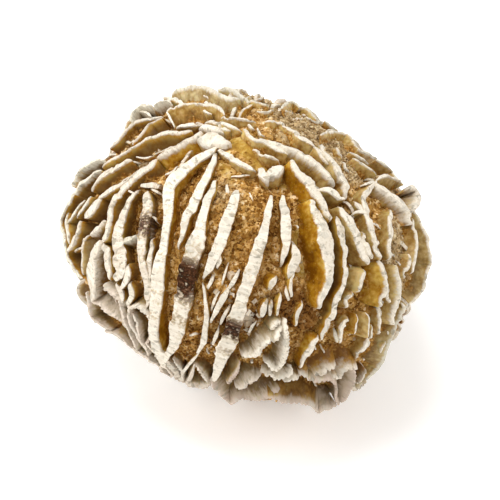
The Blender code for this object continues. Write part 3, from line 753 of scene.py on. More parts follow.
leftBlades = {
    "look": {
        **plainLook, "crust": 0.35, "blush": 0.25, "honey": 0.9, "dusk": 0.7, "ragged": 1.0, "swell": 0.08,
        "slim": 0.92, "ribs": 0.85, "crown": 7.0, "round": 0.15,
    },
    "blades": (
        strip(0.9, 0, (130, 120, 3), (132, 111, 5), (138, 105, 5), (146, 105, 4), (152, 107, 2), blush=-0.6,
              crust=2.5),
        strip(0.0, 0, (133, 113, 2), (140, 111, 3), (147, 113, 3), (151, 116, 2), blush=-0.3, crust=1.6),
        strip(0.2, 0, (152, 107, 2), (159, 101, 4), (166, 99, 3), (171, 103, 2), blush=-0.6, crust=2.0),
        strip(-0.1, 10, (163, 117, 1), (155, 118, 2), (147, 119, 2), (139, 121, 3), (132, 124, 3),
              (127, 129, 3), (121, 136, 3), (116, 143, 3), (110, 149, 2)),
        strip(-0.1, -15, (162, 119, 2), (157, 121, 4), (151, 123, 4), (146, 127, 4), (142, 133, 3),
              (137, 139, 2), (133, 145, 1)),
        strip(0.1, -14, (192, 131, 3), (184, 132, 4), (176, 133, 4), (169, 133, 4), (162, 134, 4),
              (156, 136, 3), (150, 137, 3), (143, 140, 3), (137, 145, 3), (130, 149, 3), (122, 154, 3),
              (114, 158, 3), (108, 162, 3), (103, 168, 2)),
        strip(0.2, -26, (201, 133, 4), (196, 135, 7), (190, 138, 8), (184, 141, 9), (177, 145, 9),
              (170, 149, 9), (164, 154, 8), (158, 160, 4), crust=0.9, honey=1.0, dusk=0.0, slim=1.0),
        strip(0.2, -14, (158, 160, 5), (153, 164, 8), (148, 168, 8), (142, 172, 8), (136, 177, 8),
              (130, 182, 8), (124, 188, 9), (118, 194, 9), (113, 200, 9), (110, 207, 9), (109, 214, 9),
              (108, 222, 10), (107, 229, 10), (105, 236, 9), (104, 241, 7)),
        strip(0.1, 0, (104, 243, 7), (105, 250, 8), (107, 258, 8), (108, 266, 7), (109, 273, 6),
              (110, 280, 3)),
        strip(0.1, -20, (132, 160, 2), (125, 161, 5), (118, 165, 6), (110, 170, 7), (104, 174, 7),
              (97, 179, 8), (93, 184, 7), (91, 191, 4), crust=0.5),
        strip(0.0, -8, (128, 181, 1), (121, 184, 3), (114, 188, 4), (108, 192, 5), (103, 196, 5),
              (100, 200, 3)),
        strip(0.3, -8, (101, 197, 5), (96, 202, 9), (92, 207, 10), (88, 212, 10), (84, 217, 7), crust=0.5,
              blush=0.1),
        strip(0.3, -8, (81, 221, 5), (78, 227, 9), (76, 233, 9), (74, 240, 8), (71, 247, 6), (69, 252, 3),
              crust=0.5),
        strip(0.2, 0, (101, 170, 2), (92, 174, 3), (85, 180, 4), (79, 186, 4), (75, 192, 4), (71, 199, 3),
              (67, 206, 2), blush=-0.4, crust=0.9),
        strip(1.0, 0, (104, 160, 2), (96, 160, 3), (88, 164, 4), (80, 170, 4), (75, 177, 4), (73, 186, 3),
              blush=-0.5, crust=1.6),
        strip(0.1, 0, (92, 197, 2), (86, 204, 3), (80, 211, 3), (76, 218, 2), blush=-0.5),
        strip(0.1, 0, (84, 200, 2), (78, 206, 2), (74, 212, 3), (70, 219, 3), (67, 226, 2), blush=-0.5),
        strip(0.4, 0, (74, 195, 4), (69, 202, 5), (64, 210, 5), (61, 218, 5), (60, 226, 5), (62, 234, 5),
              (64, 242, 4), (65, 250, 4), (67, 258, 4), (71, 266, 4), (76, 273, 4), (82, 278, 2),
              blush=-0.6),
        strip(0.2, 0, (69, 213, 2), (67, 220, 4), (67, 228, 5), (68, 236, 4), (70, 244, 2), blush=-0.6),
        strip(0.1, 0, (129, 190, 2), (134, 193, 2), (140, 190, 2)),
        strip(0.0, 6, (139, 191, 3), (133, 195, 4), (129, 200, 4), (127, 207, 6), (125, 214, 7),
              (122, 221, 8), (119, 229, 10), (117, 237, 12), (116, 245, 13), (117, 253, 14), (118, 261, 15),
              (119, 268, 13), (118, 274, 11), (117, 280, 7)),
        strip(-0.2, 0, (130, 264, 2), (128, 271, 5), (127, 278, 6), (124, 285, 5), (121, 292, 3)),
        strip(-0.2, 0, (132, 281, 3), (131, 289, 6), (131, 297, 6), (128, 305, 4), blush=-0.4),
        strip(-0.2, 0, (117, 282, 3), (119, 290, 5), (121, 298, 5), (122, 306, 3), blush=0.2),
        strip(-0.3, -20, (137, 235, 1), (131, 238, 4), (126, 240, 5), (123, 243, 3), blush=-0.8, crust=1.5),
        strip(0.0, 0, (149, 192, 5), (147, 198, 9), (147, 205, 11), (145, 213, 12), (144, 221, 11),
              (143, 229, 11), (142, 237, 10), (141, 245, 9), (141, 253, 9), (141, 261, 8), (143, 269, 7),
              (144, 276, 6), (145, 283, 5), (145, 290, 5), (146, 297, 5), (147, 303, 3), (147, 309, 2),
              bare=((224, 18, 0.8), (256, 7, 0.5)), blush=0.3),
        strip(-0.3, 0, (154, 238, 2), (152, 247, 4), (150, 255, 4), (149, 263, 5), (149, 271, 5),
              (149, 279, 5), (150, 286, 4), (151, 293, 3), (152, 299, 2)),
        strip(-0.5, 0, (152, 215, 1), (156, 218, 2), (159, 224, 1)),
        strip(-0.1, -15, (142, 187, 2), (147, 185, 5), (152, 184, 6), (157, 186, 5), (161, 185, 2),
              crust=1.5),
        strip(-0.2, 0, (153, 191, 2), (158, 192, 3), (163, 195, 2)),
        strip(-0.4, -15, (136, 157, 1), (142, 158, 2), (149, 158, 2), (154, 156, 1)),
        strip(-0.4, -15, (166, 178, 1), (170, 174, 2), (175, 171, 2), (182, 168, 1), honey=0.8),
        strip(0.2, -6, (99, 240, 3), (96, 247, 7), (93, 255, 10), (92, 263, 13), (91, 271, 15),
              (90, 279, 16), (90, 287, 14), (91, 294, 10), (92, 300, 5), blush=0.2, crust=1.5),
        strip(-0.4, -30, (104, 220, 2), (99, 225, 4), (94, 230, 5), (90, 235, 2), crust=1.0, blush=0.2),
        strip(-0.3, 0, (90, 236, 1), (84, 243, 2), (80, 248, 2), (75, 253, 1)),
        strip(0.0, -35, (84, 238, 2), (83, 247, 2), (82, 256, 2), (82, 266, 2), (84, 275, 2), honey=0.3),
    ),
}
lowerPlates = {
    "look": {
        **plainLook, "crust": 1.1, "blush": 0.6, "saw": 0.9, "sawPitch": 0.8, "ruffle": 0.15, "honey": 0.15,
        "dusk": 0.55, "ribs": 0.5, "overhang": 0.0, "round": 0.4, "step": 0.22, "slim": 0.75,
    },
    "blades": (
        seen(0.5, 0, (86, 292, 4), (87, 301, 5), (88, 309, 5), (91, 317, 5), (97, 323, 5), (103, 327, 4),
             (110, 330, 2), blush=0.8, honey=0.2),
        seen(0.4, -30, (90, 301, 4), (97, 306, 5), (102, 311, 5), (108, 316, 5), (114, 319, 5),
             (120, 322, 4), (126, 326, 2), crust=3.5),
        seen(0.1, -25, (104, 284, 3), (105, 290, 4), (110, 294, 5), (115, 298, 5), (119, 303, 4),
             (122, 309, 3), crust=2.5),
        seen(0.1, 0, (120, 303, 3), (122, 312, 4), (124, 321, 4), (127, 330, 4), (131, 338, 4),
             (136, 346, 4), (142, 353, 2), saw=0.3),
        seen(0.1, 0, (127, 301, 3), (128, 310, 4), (129, 319, 4), (132, 328, 4), (136, 336, 4),
             (141, 344, 4), (147, 352, 3), (153, 359, 2), saw=0.3),
        seen(0.0, 0, (132, 311, 3), (134, 318, 4), (137, 326, 4), (139, 334, 4), (142, 342, 2), saw=0.3),
        seen(0.3, -20, (129, 309, 3), (136, 308, 5), (141, 311, 6), (146, 316, 6), (151, 321, 3), blush=0.2),
        seen(0.0, -25, (141, 343, 2), (146, 345, 3), (150, 339, 3), (150, 329, 2), blush=1.0),
        seen(0.5, 0, (104, 330, 2), (112, 333, 3), (120, 338, 3), (127, 345, 3), (134, 351, 4),
             (142, 356, 4), (150, 361, 4), (158, 367, 4), (165, 374, 4), (172, 381, 4), (180, 386, 4),
             (187, 389, 3), saw=0.4),
        seen(0.2, 0, (146, 342, 3), (150, 350, 4), (155, 357, 5), (161, 364, 5), (168, 371, 5),
             (175, 378, 5), (183, 385, 3), saw=0.4),
        seen(0.2, 20, (160, 357, 4), (166, 362, 7), (171, 367, 8), (177, 374, 7), (183, 381, 4), blush=0.3),
        seen(0.2, 0, (172, 358, 3), (177, 367, 4), (181, 375, 3), (184, 381, 2), blush=0.3),
        seen(0.3, -20, (185, 388, 3), (189, 381, 4), (193, 373, 4), (195, 365, 2), blush=0.4),
        seen(0.5, -30, (186, 389, 3), (193, 387, 3), (200, 389, 3), (207, 388, 3), (211, 385, 2)),
        seen(0.4, -15, (195, 364, 2), (199, 372, 4), (204, 378, 4), (210, 382, 3), blush=0.3),
        seen(1.0, -30, (209, 380, 3), (213, 388, 3), (218, 394, 3), (224, 400, 3), (231, 404, 3),
             (238, 401, 3), (245, 402, 3), (252, 402, 3), (258, 401, 3), (265, 400, 3), (271, 397, 3),
             (276, 393, 3), (280, 389, 2), crust=2.0, blush=1.0),
        seen(0.4, -30, (228, 381, 3), (233, 380, 3), (237, 375, 3), (240, 368, 3), (241, 361, 2), blush=1.0,
             crust=0.7),
        seen(0.8, -35, (235, 386, 3), (240, 390, 4), (246, 387, 4), (252, 382, 4), (257, 381, 4),
             (262, 376, 3), blush=0.5, crust=2.4),
        seen(0.5, -42, (241, 355, 3), (249, 358, 4), (257, 357, 4), (263, 350, 4), (270, 343, 4),
             (277, 341, 4), (281, 334, 4), (284, 325, 3), blush=0.0, crust=2.2),
        seen(0.2, -30, (270, 329, 3), (276, 326, 4), (281, 320, 3), blush=0.0),
        seen(0.4, 30, (287, 319, 3), (288, 330, 4), (288, 340, 5), (287, 350, 5), (286, 358, 5),
             (284, 366, 4), (280, 371, 4), (274, 371, 4), (268, 366, 3), (263, 361, 2), blush=0.0,
             crust=2.0),
        seen(0.6, -38, (260, 371, 3), (265, 377, 3), (270, 378, 4), (276, 380, 4), (283, 379, 4),
             (290, 377, 4), (294, 372, 3), (291, 365, 2), blush=0.1, crust=2.2),
        seen(0.7, -20, (284, 381, 3), (291, 381, 4), (297, 381, 3), (300, 376, 2), blush=0.1),
        seen(0.8, -36, (299, 376, 3), (306, 379, 3), (312, 382, 3), (318, 379, 4), (325, 375, 4),
             (331, 371, 3), (336, 367, 2), blush=0.3, crust=2.0, honey=0.9, dusk=0.3),
        seen(0.9, -36, (326, 379, 3), (334, 380, 3), (342, 379, 3), (346, 374, 4), (351, 371, 4),
             (357, 368, 3), blush=0.3, crust=2.0, honey=0.9, dusk=0.3),
        seen(1.6, -24, (309, 380, 3), (318, 384, 3), (325, 383, 3), (332, 383, 3), (336, 390, 3),
             (335, 398, 3), (338, 406, 3), blush=1.0, crust=2.2),
        seen(2.0, -24, (268, 398, 2), (277, 401, 3), (286, 404, 3), (295, 404, 3), (304, 404, 3),
             (311, 405, 3), (314, 407, 2), blush=1.0, crust=1.3, honey=0.7, dusk=0.3),
        seen(2.0, -24, (310, 404, 2), (316, 411, 3), (320, 414, 3), (325, 411, 3), (331, 411, 3),
             (338, 407, 3), blush=0.7, crust=3.5),
        seen(1.4, 24, (355, 369, 3), (357, 377, 3), (355, 385, 3), (351, 392, 3), (349, 398, 3),
             (344, 403, 3), (338, 407, 3), blush=0.9, crust=2.6),
        seen(0.7, -20, (352, 391, 3), (358, 392, 3), (364, 393, 4), (369, 391, 4), (372, 385, 3), blush=0.3),
        seen(0.2, 10, (358, 384, 2), (363, 378, 3), (367, 371, 2), blush=0.4),
    ),
}

# Rings of blades placed by rule, for what the eye of the sight plane doesn't see. Each blade runs between two
# latitudes, and its top comes no further than the outline that this eye sees, moved by "past" degrees.
ringForm = {"top": None, "past": -4, "width": 1.5}  # with no top, a ring starts at the outline
farSide = {**ringForm, "first": 92, "last": 268, "count": 30, "foot": -32, "width": 1.9, "seed": 7}
farFill = {**ringForm, "first": 97, "last": 262, "count": 19, "top": 8, "foot": -14, "width": 1.2, "seed": 14}
farCrown = {**ringForm, "first": 128, "last": 228, "count": 15, "top": 62, "foot": 34, "seed": 22}
sideForm = {**ringForm, "past": 0, "foot": -58, "width": 1.4}
rightFill = {**sideForm, "first": 50, "last": 98, "count": 9, "seed": 41}
leftFill = {**sideForm, "first": -104, "last": -46, "count": 10, "seed": 43}
underside = {**ringForm, "first": 8, "last": 352, "count": 24, "top": -36, "foot": -68, "seed": 31}
ringChance = {  # how far the blades of a ring stray
    "place": (-0.3, 0.3),  # of the step from one to the next
    "drift": (-5, 5),  # degrees
    "top": (-11, 4),
    "foot": (-9, 9),
    "width": (0.55, 1.5),  # factor
    "dusk": (0, 0.8),
    "blush": (-0.2, 0.5),
    "crust": (0.5, 1.1),
    "height": (-0.4, 0.6),  # mm
    "lean": (-12, 12),
}
shortestRun = 8  # degrees from top to foot, under which a blade is left out


def outlineLatitude(longitude):
    # where the stone's outline lies as the eye of the sight plane sees it
    lon = math.radians(longitude)
    x, y, z = sightFrame()[0]
    return math.degrees(math.atan((math.cos(lon) * y - math.sin(lon) * x) / z))


def ringOfBlades(ring):
    chance = random.Random(ring["seed"])
    step = (ring["last"] - ring["first"]) / (ring["count"] - 1)
    made = []

    def draw(kind):
        return chance.uniform(*ringChance[kind])

    for k in range(ring["count"]):
        longitude = ring["first"] + step * (k + draw("place"))
        drift = draw("drift")
        limit = outlineLatitude(longitude) + ring["past"]
        top = limit if ring["top"] is None else ring["top"]
        top = min(top + draw("top"), limit)
        foot = ring["foot"] + draw("foot")
        if top - foot < shortestRun:
            continue
        middle = (longitude + drift, top * 0.45 + foot * 0.55)
        course = ((longitude - drift / 2, top), middle, (longitude + drift / 2, foot))
        width = ring["width"] * draw("width")
        own = {kind: draw(kind) for kind in ("dusk", "blush", "crust")}
        made.append(ruled(width, draw("height"), draw("lean"), course, **own))
    return tuple(made)


farBlades = {
    "look": {**plainLook, "honey": 0.6, "step": 0.5, "dive": 2.6, "ragged": 1.1, "taper": 5.0, "ribs": 0.7},
    "blades": tuple(
        blade for ring in (farSide, farFill, farCrown, rightFill, leftFill) for blade in ringOfBlades(ring)
    ),
}
footBlades = {"look": {**plainLook, "honey": 0.4, "step": 0.6}, "blades": ringOfBlades(underside)}

# Shards: small blades that stand in the sand, along the run of the big ones
shardForm = {
    "highest": 0.4,  # mm over the body
    "slant": 0.22,  # radians off the run of the big ones
    "bend": 0.12,
    "lean": 14,  # degrees
    "blush": (-0.4, 0.5),
    "crust": (0.1, 0.7),
    "honey": (0.2, 1),
}
shardZones = (  # centre and spread in degrees, count, and the ranges of length, width and rise in mm
    ((-75, 30), 32, 26, (3, 8), (0.35, 0.8), (0.4, 1.4)),
    ((-58, -6), 22, 20, (2.5, 6), (0.35, 0.8), (0.4, 1.6)),
    ((-115, 62), 24, 24, (3, 8), (0.35, 0.8), (0.3, 1.2)),
    ((78, 60), 18, 16, (2, 5), (0.25, 0.5), (0.1, 0.7)),
    ((168, 46), 26, 22, (3, 9), (0.5, 1.0), (0.3, 1.2)),
    ((66, 18), 22, 26, (2, 5), (0.3, 0.7), (0.3, 1.4)),
    ((46, -12), 18, 30, (1.5, 4.5), (0.3, 0.8), (0.3, 1.7)),
    ((20, -8), 11, 16, (1.5, 4), (0.2, 0.5), (0.2, 1.4)),
    ((-10, 2), 11, 14, (1, 3.5), (0.25, 0.6), (0.2, 0.8)),
    ((76, -8), 24, 26, (4, 9), (0.5, 1.0), (0.4, 1.5)),
    ((-106, 28), 20, 14, (4, 9), (0.5, 1.0), (0.4, 1.5)),
    ((180, 10), 62, 36, (4, 9), (0.5, 1.1), (0.4, 1.6)),
)


def compass(heading):
    east = unit(np.cross((0, 0, 1), heading))
    return east, np.cross(heading, east)


def shardBlades(zone, seed):
    centre, spread, count, lengths, widths, rises = zone
    chance = random.Random(seed)
    made = []
    for _ in range(count):
        turn = chance.uniform(0, 2 * math.pi)
        away = math.radians(spread) * math.sqrt(chance.uniform(0, 1))
        middle = direction(*centre)
        east, north = compass(middle)
        middle = middle * math.cos(away) + (east * math.cos(turn) + north * math.sin(turn)) * math.sin(away)
        east, north = compass(middle)
        slant = chance.gauss(0, shardForm["slant"])
        run = north * math.cos(slant) + east * math.sin(slant)
        reach = chance.uniform(*lengths) / 2 / stoneForm["halfHeight"]
        bend = east * chance.gauss(0, shardForm["bend"])
        course = []
        for step in (1, 0, -1):
            spot = middle * math.cos(reach) + run * math.sin(reach) * step + bend * reach * (1 - step * step)
            spot = unit(spot)
            longitude = math.degrees(math.atan2(spot[0], -spot[1]))
            course.append((longitude, math.degrees(math.asin(max(-1.0, min(1.0, spot[2]))))))
        level = sandRadius(middle[None])[0] - bodyRadius(middle[None])[0]
        height = min(level + chance.uniform(*rises), shardForm["highest"])
        own = {mark: chance.uniform(*shardForm[mark]) for mark in ("blush", "crust", "honey")}
        made.append(ruled(chance.uniform(*widths), height, chance.gauss(0, shardForm["lean"]), course, **own))
    return made


shards = {
    "look": {**plainLook, "step": 0.36, "saw": 0.3, "ragged": 1.2, "dive": 2.0, "taper": 3.0},
    "blades": [blade for k, zone in enumerate(shardZones) for blade in shardBlades(zone, 50 + k)],
}


# Finishes. A Reading is one node's output, and its operators add Math nodes.


class Reading:
    def __init__(self, finish, socket):
        self.finish = finish
        self.socket = socket

    def math(self, operation, first, second=0.0):
        return self.finish.node("Math", {"operation": operation}, {0: first, 1: second})

    def __add__(self, other):
        return self.math("ADD", self, other)

    __radd__ = __add__

    def __sub__(self, other):
        return self.math("SUBTRACT", self, other)

    def __rsub__(self, other):
        return self.math("SUBTRACT", other, self)

    def __mul__(self, other):
        return self.math("MULTIPLY", self, other)

    __rmul__ = __mul__

    def atLeast(self, other):
        return self.math("MAXIMUM", self, other)


class Finish:
    def __init__(self, name):
        self.material = bpy.data.materials.new(name)
        self.material.use_nodes = True
        self.tree = self.material.node_tree
        self.tree.nodes.clear()
        self.place = self.node("TexCoord", {}, {}, "Object")

    def node(self, kind, settings, sockets, output=0):
        made = self.tree.nodes.new("ShaderNode" + kind)
        for name, value in settings.items():
            if name == "stops":
                ramp = made.color_ramp.elements
                while len(ramp) < len(value):
                    ramp.new(0.5)
                for element, (position, colour) in zip(ramp, value):
                    element.position = position
                    element.color = (*colour, 1)
            else:
                setattr(made, name, value)
        for name, value in sockets.items():
            if isinstance(value, Reading):
                self.tree.links.new(value.socket, made.inputs[name])
            elif isinstance(value, tuple) and len(value) == 3 and made.inputs[name].type == "RGBA":
                made.inputs[name].default_value = (*value, 1)
            else:
                made.inputs[name].default_value = value
        return Reading(self, made.outputs[output])

    def mark(self, name, output="Fac"):
        return self.node("Attribute", {"attribute_name": name}, {}, output)

    def noise(self, size, detail=2.0, at=None, roughness=0.5):
        # size in mm: the object's own places are in metres, and any other vector is in mm already
        scale = 1 / (size * mm if at is None else size)
        sockets = {"Vector": at or self.place, "Scale": scale, "Detail": detail, "Roughness": roughness}
        return self.node("TexNoise", {}, sockets)

    def step(self, value, low, high):
        sockets = {"Value": value, "From Min": low, "From Max": high}
        return self.node("MapRange", {"interpolation_type": "SMOOTHSTEP"}, sockets)

    def blend(self, factor, first, second, how="MIX"):
        return self.node("Mix", {"data_type": "RGBA", "blend_type": how}, {0: factor, 6: first, 7: second}, 2)

    def ramp(self, value, stops):
        return self.node("ValToRGB", {"stops": stops}, {"Fac": value})

    def stretched(self, vector, amounts):
        return self.node("VectorMath", {"operation": "MULTIPLY"}, {0: vector, 1: amounts})

    def bump(self, height, distance, strength=1.0, under=None):
        sockets = {"Height": height, "Distance": distance * mm, "Strength": strength}
        if under is not None:
            sockets["Normal"] = under
        return self.node("Bump", {}, sockets)

    def shader(self, sockets):
        return self.node("BsdfPrincipled", {"subsurface_method": "RANDOM_WALK"}, sockets)

    def finish(self, shader):
        output = self.tree.nodes.new("ShaderNodeOutputMaterial")
        self.tree.links.new(shader.socket, output.inputs["Surface"])
        return self.material


# A ramp is a row of (place, colour), and every other colour stands alone
bladeColours = {
    "cream": ((0.28, (0.34, 0.27, 0.19)), (0.42, (0.69, 0.61, 0.49)), (0.6, (0.85, 0.785, 0.67))),
    "pink": ((0.28, (0.25, 0.175, 0.125)), (0.45, (0.49, 0.375, 0.295)), (0.65, (0.66, 0.545, 0.455))),
    "sage": ((0.28, (0.31, 0.29, 0.20)), (0.45, (0.55, 0.52, 0.40)), (0.65, (0.74, 0.71, 0.60))),
    "fibre": (0.50, 0.43, 0.33),
    "pit": (0.27, 0.24, 0.18),
    "speck": (0.32, 0.28, 0.21),
    "facet": (0.56, 0.53, 0.45),
    "paintedFlankShade": (0.42, 0.33, 0.22),  # painted shade, greying the crust further down the flank
    "worn": (0.55, 0.46, 0.33),
    "amber": ((0.25, (0.17, 0.060, 0.002)), (0.46, (0.36, 0.165, 0.008)), (0.7, (0.62, 0.41, 0.09))),
    "olive": ((0.25, (0.15, 0.092, 0.030)), (0.46, (0.33, 0.245, 0.105)), (0.7, (0.58, 0.50, 0.30))),
    "glint": (0.70, 0.52, 0.24),
    # painted shade deep in the gaps between blades
    "dusk": (0.10, 0.052, 0.022),
    "smoke": (
        (0.40, (0.016, 0.005, 0.001)), (0.56, (0.060, 0.022, 0.008)), (0.70, (0.16, 0.080, 0.040)),
        (0.84, (0.62, 0.54, 0.43)),
    ),
    "haze": ((0.34, (0.10, 0.062, 0.034)), (0.55, (0.27, 0.21, 0.14)), (0.70, (0.62, 0.56, 0.45))),
    "sand": ((0.3, (0.15, 0.058, 0.006)), (0.5, (0.36, 0.17, 0.028)), (0.72, (0.62, 0.39, 0.13))),
}


def bladeFinish():
    f = Finish("crustedSelenite")
    colours = bladeColours
    layer = f.mark("layer", "Vector")
    crustShare, depth, bare = (f.mark(name) for name in ("crustShare", "depth", "bare"))
    blush, honey, ribs, dusk = (f.mark(name) for name in ("blush", "honey", "ribs", "dusk"))
    broad = f.noise(3.2, 3.0)
    small = f.noise(0.8, 3.0)
    fine = f.noise(0.35, 2.0)
    striae = f.noise(0.55, 4.0, at=f.stretched(layer, (1.0, 0.12, 1.0)), roughness=0.7)

    # white crust, thinning out down the flanks
    edge = crustShare + (broad - 0.5) * 1.2 + (small - 0.5) * 1.0 + (striae - 0.5) * 1.8
    fray = f.step(bare, 0.02, 0.25) * ((small - 0.5) * 1.6 + (striae - 0.5) * 1.4)
    window = f.step(bare + fray, 0.35, 0.85)
    crust = (1 - f.step(edge, 0.4, 1.5)) * (1 - window)

    lines = 0.58 + (striae - 0.58) * ribs
    chalk = f.blend(blush.atLeast(0.0), f.ramp(lines, colours["cream"]), f.ramp(lines, colours["pink"]))
    chalk = f.blend((0 - blush).atLeast(0.0), chalk, f.ramp(lines, colours["sage"]))
    fibres = f.noise(2.6, 2.0, at=f.stretched(layer, (1.0, 0.06, 1.0)), roughness=0.6)
    pits = f.step(f.noise(0.85, 2.0, at=f.stretched(layer, (0.8, 0.4, 0.8))), 0.575, 0.635)
    pits = pits * f.step(broad + (small - 0.5) * 0.3, 0.36, 0.58)
    specks = f.step(f.noise(0.45, 3.0, at=f.stretched(layer, (1.0, 0.4, 1.0)), roughness=0.6), 0.58, 0.66)
    facets = f.node("TexVoronoi", {}, {"Vector": f.stretched(layer, (1.0, 0.45, 1.0)), "Scale": 0.8}, "Color")
    facet = f.node("SeparateColor", {}, {0: facets}, 1)
    worn = f.step(small + (fine - 0.5) * 0.6 + (broad - 0.5) * 0.5, 0.50, 0.78)
    layers = (
        (f.step(fibres, 0.46, 0.72) * ribs * 0.4, "fibre"),
        (pits * 0.8, "pit"),
        (specks * ribs, "speck"),
        (f.step(facet + (small - 0.5) * 0.5, 0.70, 0.90) * 0.5, "facet"),
        # painted shade on the crust further down the flank
        (f.step(depth + (small - 0.5) * 0.8, 0.3, 1.7) * 0.65, "paintedFlankShade"),
        (worn * 0.6, "worn"),
    )
    for share, colour in layers:
        chalk = f.blend(share, chalk, colours[colour])

    # clear flanks, from olive to amber and darker further down as painted shade, smoky where the crust is
    # missing and sandy at the foot
    toneAndShade = 0.56 + (broad - 0.5) * 0.8 + (small - 0.5) * 0.35 - depth * 0.07 + (0 - dusk).atLeast(0.0) * 0.3
    flank = f.blend(honey, f.ramp(toneAndShade, colours["olive"]), f.ramp(toneAndShade, colours["amber"]))
    flank = f.blend(f.step(fine, 0.60, 0.74) * 0.25, flank, colours["glint"])
    # painted shade: the flanks darken further down, into the gaps between blades
    flank = f.blend(f.step(depth + (small - 0.5) * 1.4, 0.25, 1.7) * dusk, flank, colours["dusk"])
    smoke = f.ramp(striae + (small - 0.5) * 0.9, colours["smoke"])
    haze = f.ramp(striae + (small - 0.5) * 0.6, colours["haze"])
    smoke = f.blend(f.step(bare + (broad - 0.5) * 0.7, 0.55, 0.95), haze, smoke)
    flank = f.blend(window, flank, smoke)
    sandy = 1 - f.step(f.mark("aboveSand") + (broad - 0.5) * 3.5 + (small - 0.5) * 2.0, 0.0, 1.0)
    flank = f.blend(sandy, flank, f.ramp(f.noise(0.5, 2.0), colours["sand"]))

    rough = f.bump((striae + fibres * 0.5) * ribs - pits * 0.6, 0.14, 0.9)
    rough = f.bump(small + fine * 0.4, 0.12, 0.7, under=rough)
    smooth = f.bump(striae + small * 0.6 + sandy * fine * 3, 0.10, 0.45)
    white = f.shader({"Base Color": chalk, "Roughness": 0.72, "Normal": rough, "Specular IOR Level": 0.25})
    clear = f.shader({
        "Base Color": flank, "Roughness": 0.30 + sandy * 0.35, "Normal": smooth, "Subsurface Weight": 0.5,
        "Subsurface Radius": (1.0, 0.55, 0.18), "Subsurface Scale": 0.9 * mm, "Specular IOR Level": 0.09,
    })
    return f.finish(f.node("MixShader", {}, {0: crust, 1: clear, 2: white}))


sandLook = {
    "grain": (
        (0.12, (0.14, 0.055, 0.008)), (0.33, (0.30, 0.135, 0.021)), (0.55, (0.52, 0.285, 0.070)),
        (0.80, (0.69, 0.44, 0.17)), (0.98, (0.88, 0.72, 0.46)),
    ),
    "honey": ((0.34, (0.24, 0.105, 0.012)), (0.5, (0.44, 0.26, 0.045)), (0.66, (0.68, 0.51, 0.20))),
    "pale": ((0.15, (0.17, 0.105, 0.042)), (0.5, (0.40, 0.285, 0.145)), (0.9, (0.68, 0.56, 0.37))),
    "stain": (0.36, 0.25, 0.16),
    "cell": 0.62,  # mm across one grain of packed sand
}


def sandFinish(name, toneMark=None):
    # loose grains bear their own lightness as a mark, packed sand gets one for each cell, and hollows of the
    # relief come out darker as painted shade
    f = Finish(name)
    relief = f.mark("relief")
    if toneMark:
        toneAndShade = f.mark(toneMark) * 0.85 + relief * 0.34 + 0.04
    else:
        scale = 1 / (sandLook["cell"] * mm)
        cells = f.node("TexVoronoi", {}, {"Vector": f.place, "Scale": scale}, "Color")
        toneAndShade = f.node("SeparateColor", {}, {0: cells}, 0) + relief * 0.6
    broad = f.noise(5.0, 3.0)
    small = f.noise(1.1, 3.0)
    shade = toneAndShade * 0.7 + broad * 0.35
    amber = f.step(f.mark("amber") + (small - 0.5) * 0.9, 0.25, 0.75)
    honey = f.ramp(broad * 0.6 + small * 0.4 + (toneAndShade - 0.5) * 0.1, sandLook["honey"])
    colour = f.blend(amber, f.ramp(shade, sandLook["grain"]), honey)
    pale = f.step(f.mark("pale") + (small - 0.5) * 0.6, 0.05, 0.6)
    colour = f.blend(pale * 0.85, colour, f.ramp(shade, sandLook["pale"]))
    # painted shade: the sand is darkened at the shade spots
    stain = f.step(f.mark("stain") + (small - 0.5) * 1.0, 0.1, 0.9)
    colour = f.blend(stain * 0.85, colour, sandLook["stain"], "MULTIPLY")
    return f.finish(f.shader({
        "Base Color": colour, "Roughness": 0.50 + toneAndShade * 0.3, "Normal": f.bump(f.noise(0.35, 2.0), 0.10, 0.8),
        "Subsurface Weight": 0.12, "Subsurface Radius": (1.0, 0.6, 0.25), "Subsurface Scale": 0.6 * mm,
        "Specular IOR Level": 0.08,
    }))


def chipFinish():
    f = Finish("whiteChips")
    chalk = ((0.0, (0.42, 0.31, 0.19)), (0.5, (0.70, 0.58, 0.43)), (1.0, (0.86, 0.79, 0.67)))
    return f.finish(f.shader({
        "Base Color": f.ramp(f.mark("grainTone"), chalk), "Roughness": 0.45, "Subsurface Weight": 0.4,
        "Subsurface Radius": (1.0, 0.8, 0.6), "Subsurface Scale": 0.8 * mm,
        "Normal": f.bump(f.noise(0.4, 2.0), 0.08, 0.6),
    }))


def floorFinish():
    f = Finish("studioFloor")
    return f.finish(f.shader({
        "Base Color": (0.95, 0.95, 0.95), "Roughness": 0.9, "Emission Color": (1.0, 1.0, 1.0),
        "Emission Strength": 0.25,
    }))


print("finishes: building")
selenite = bladeFinish()
packedSand = sandFinish("packedSand")
looseSand = sandFinish("looseSand", "grainTone")
chipWhite = chipFinish()


# Grains, scattered over the core by Geometry Nodes. Spacing and Size are in mm, Top, Spread and Thin are
# shares of a grain's size, and Where names the mark that says how densely they lie.

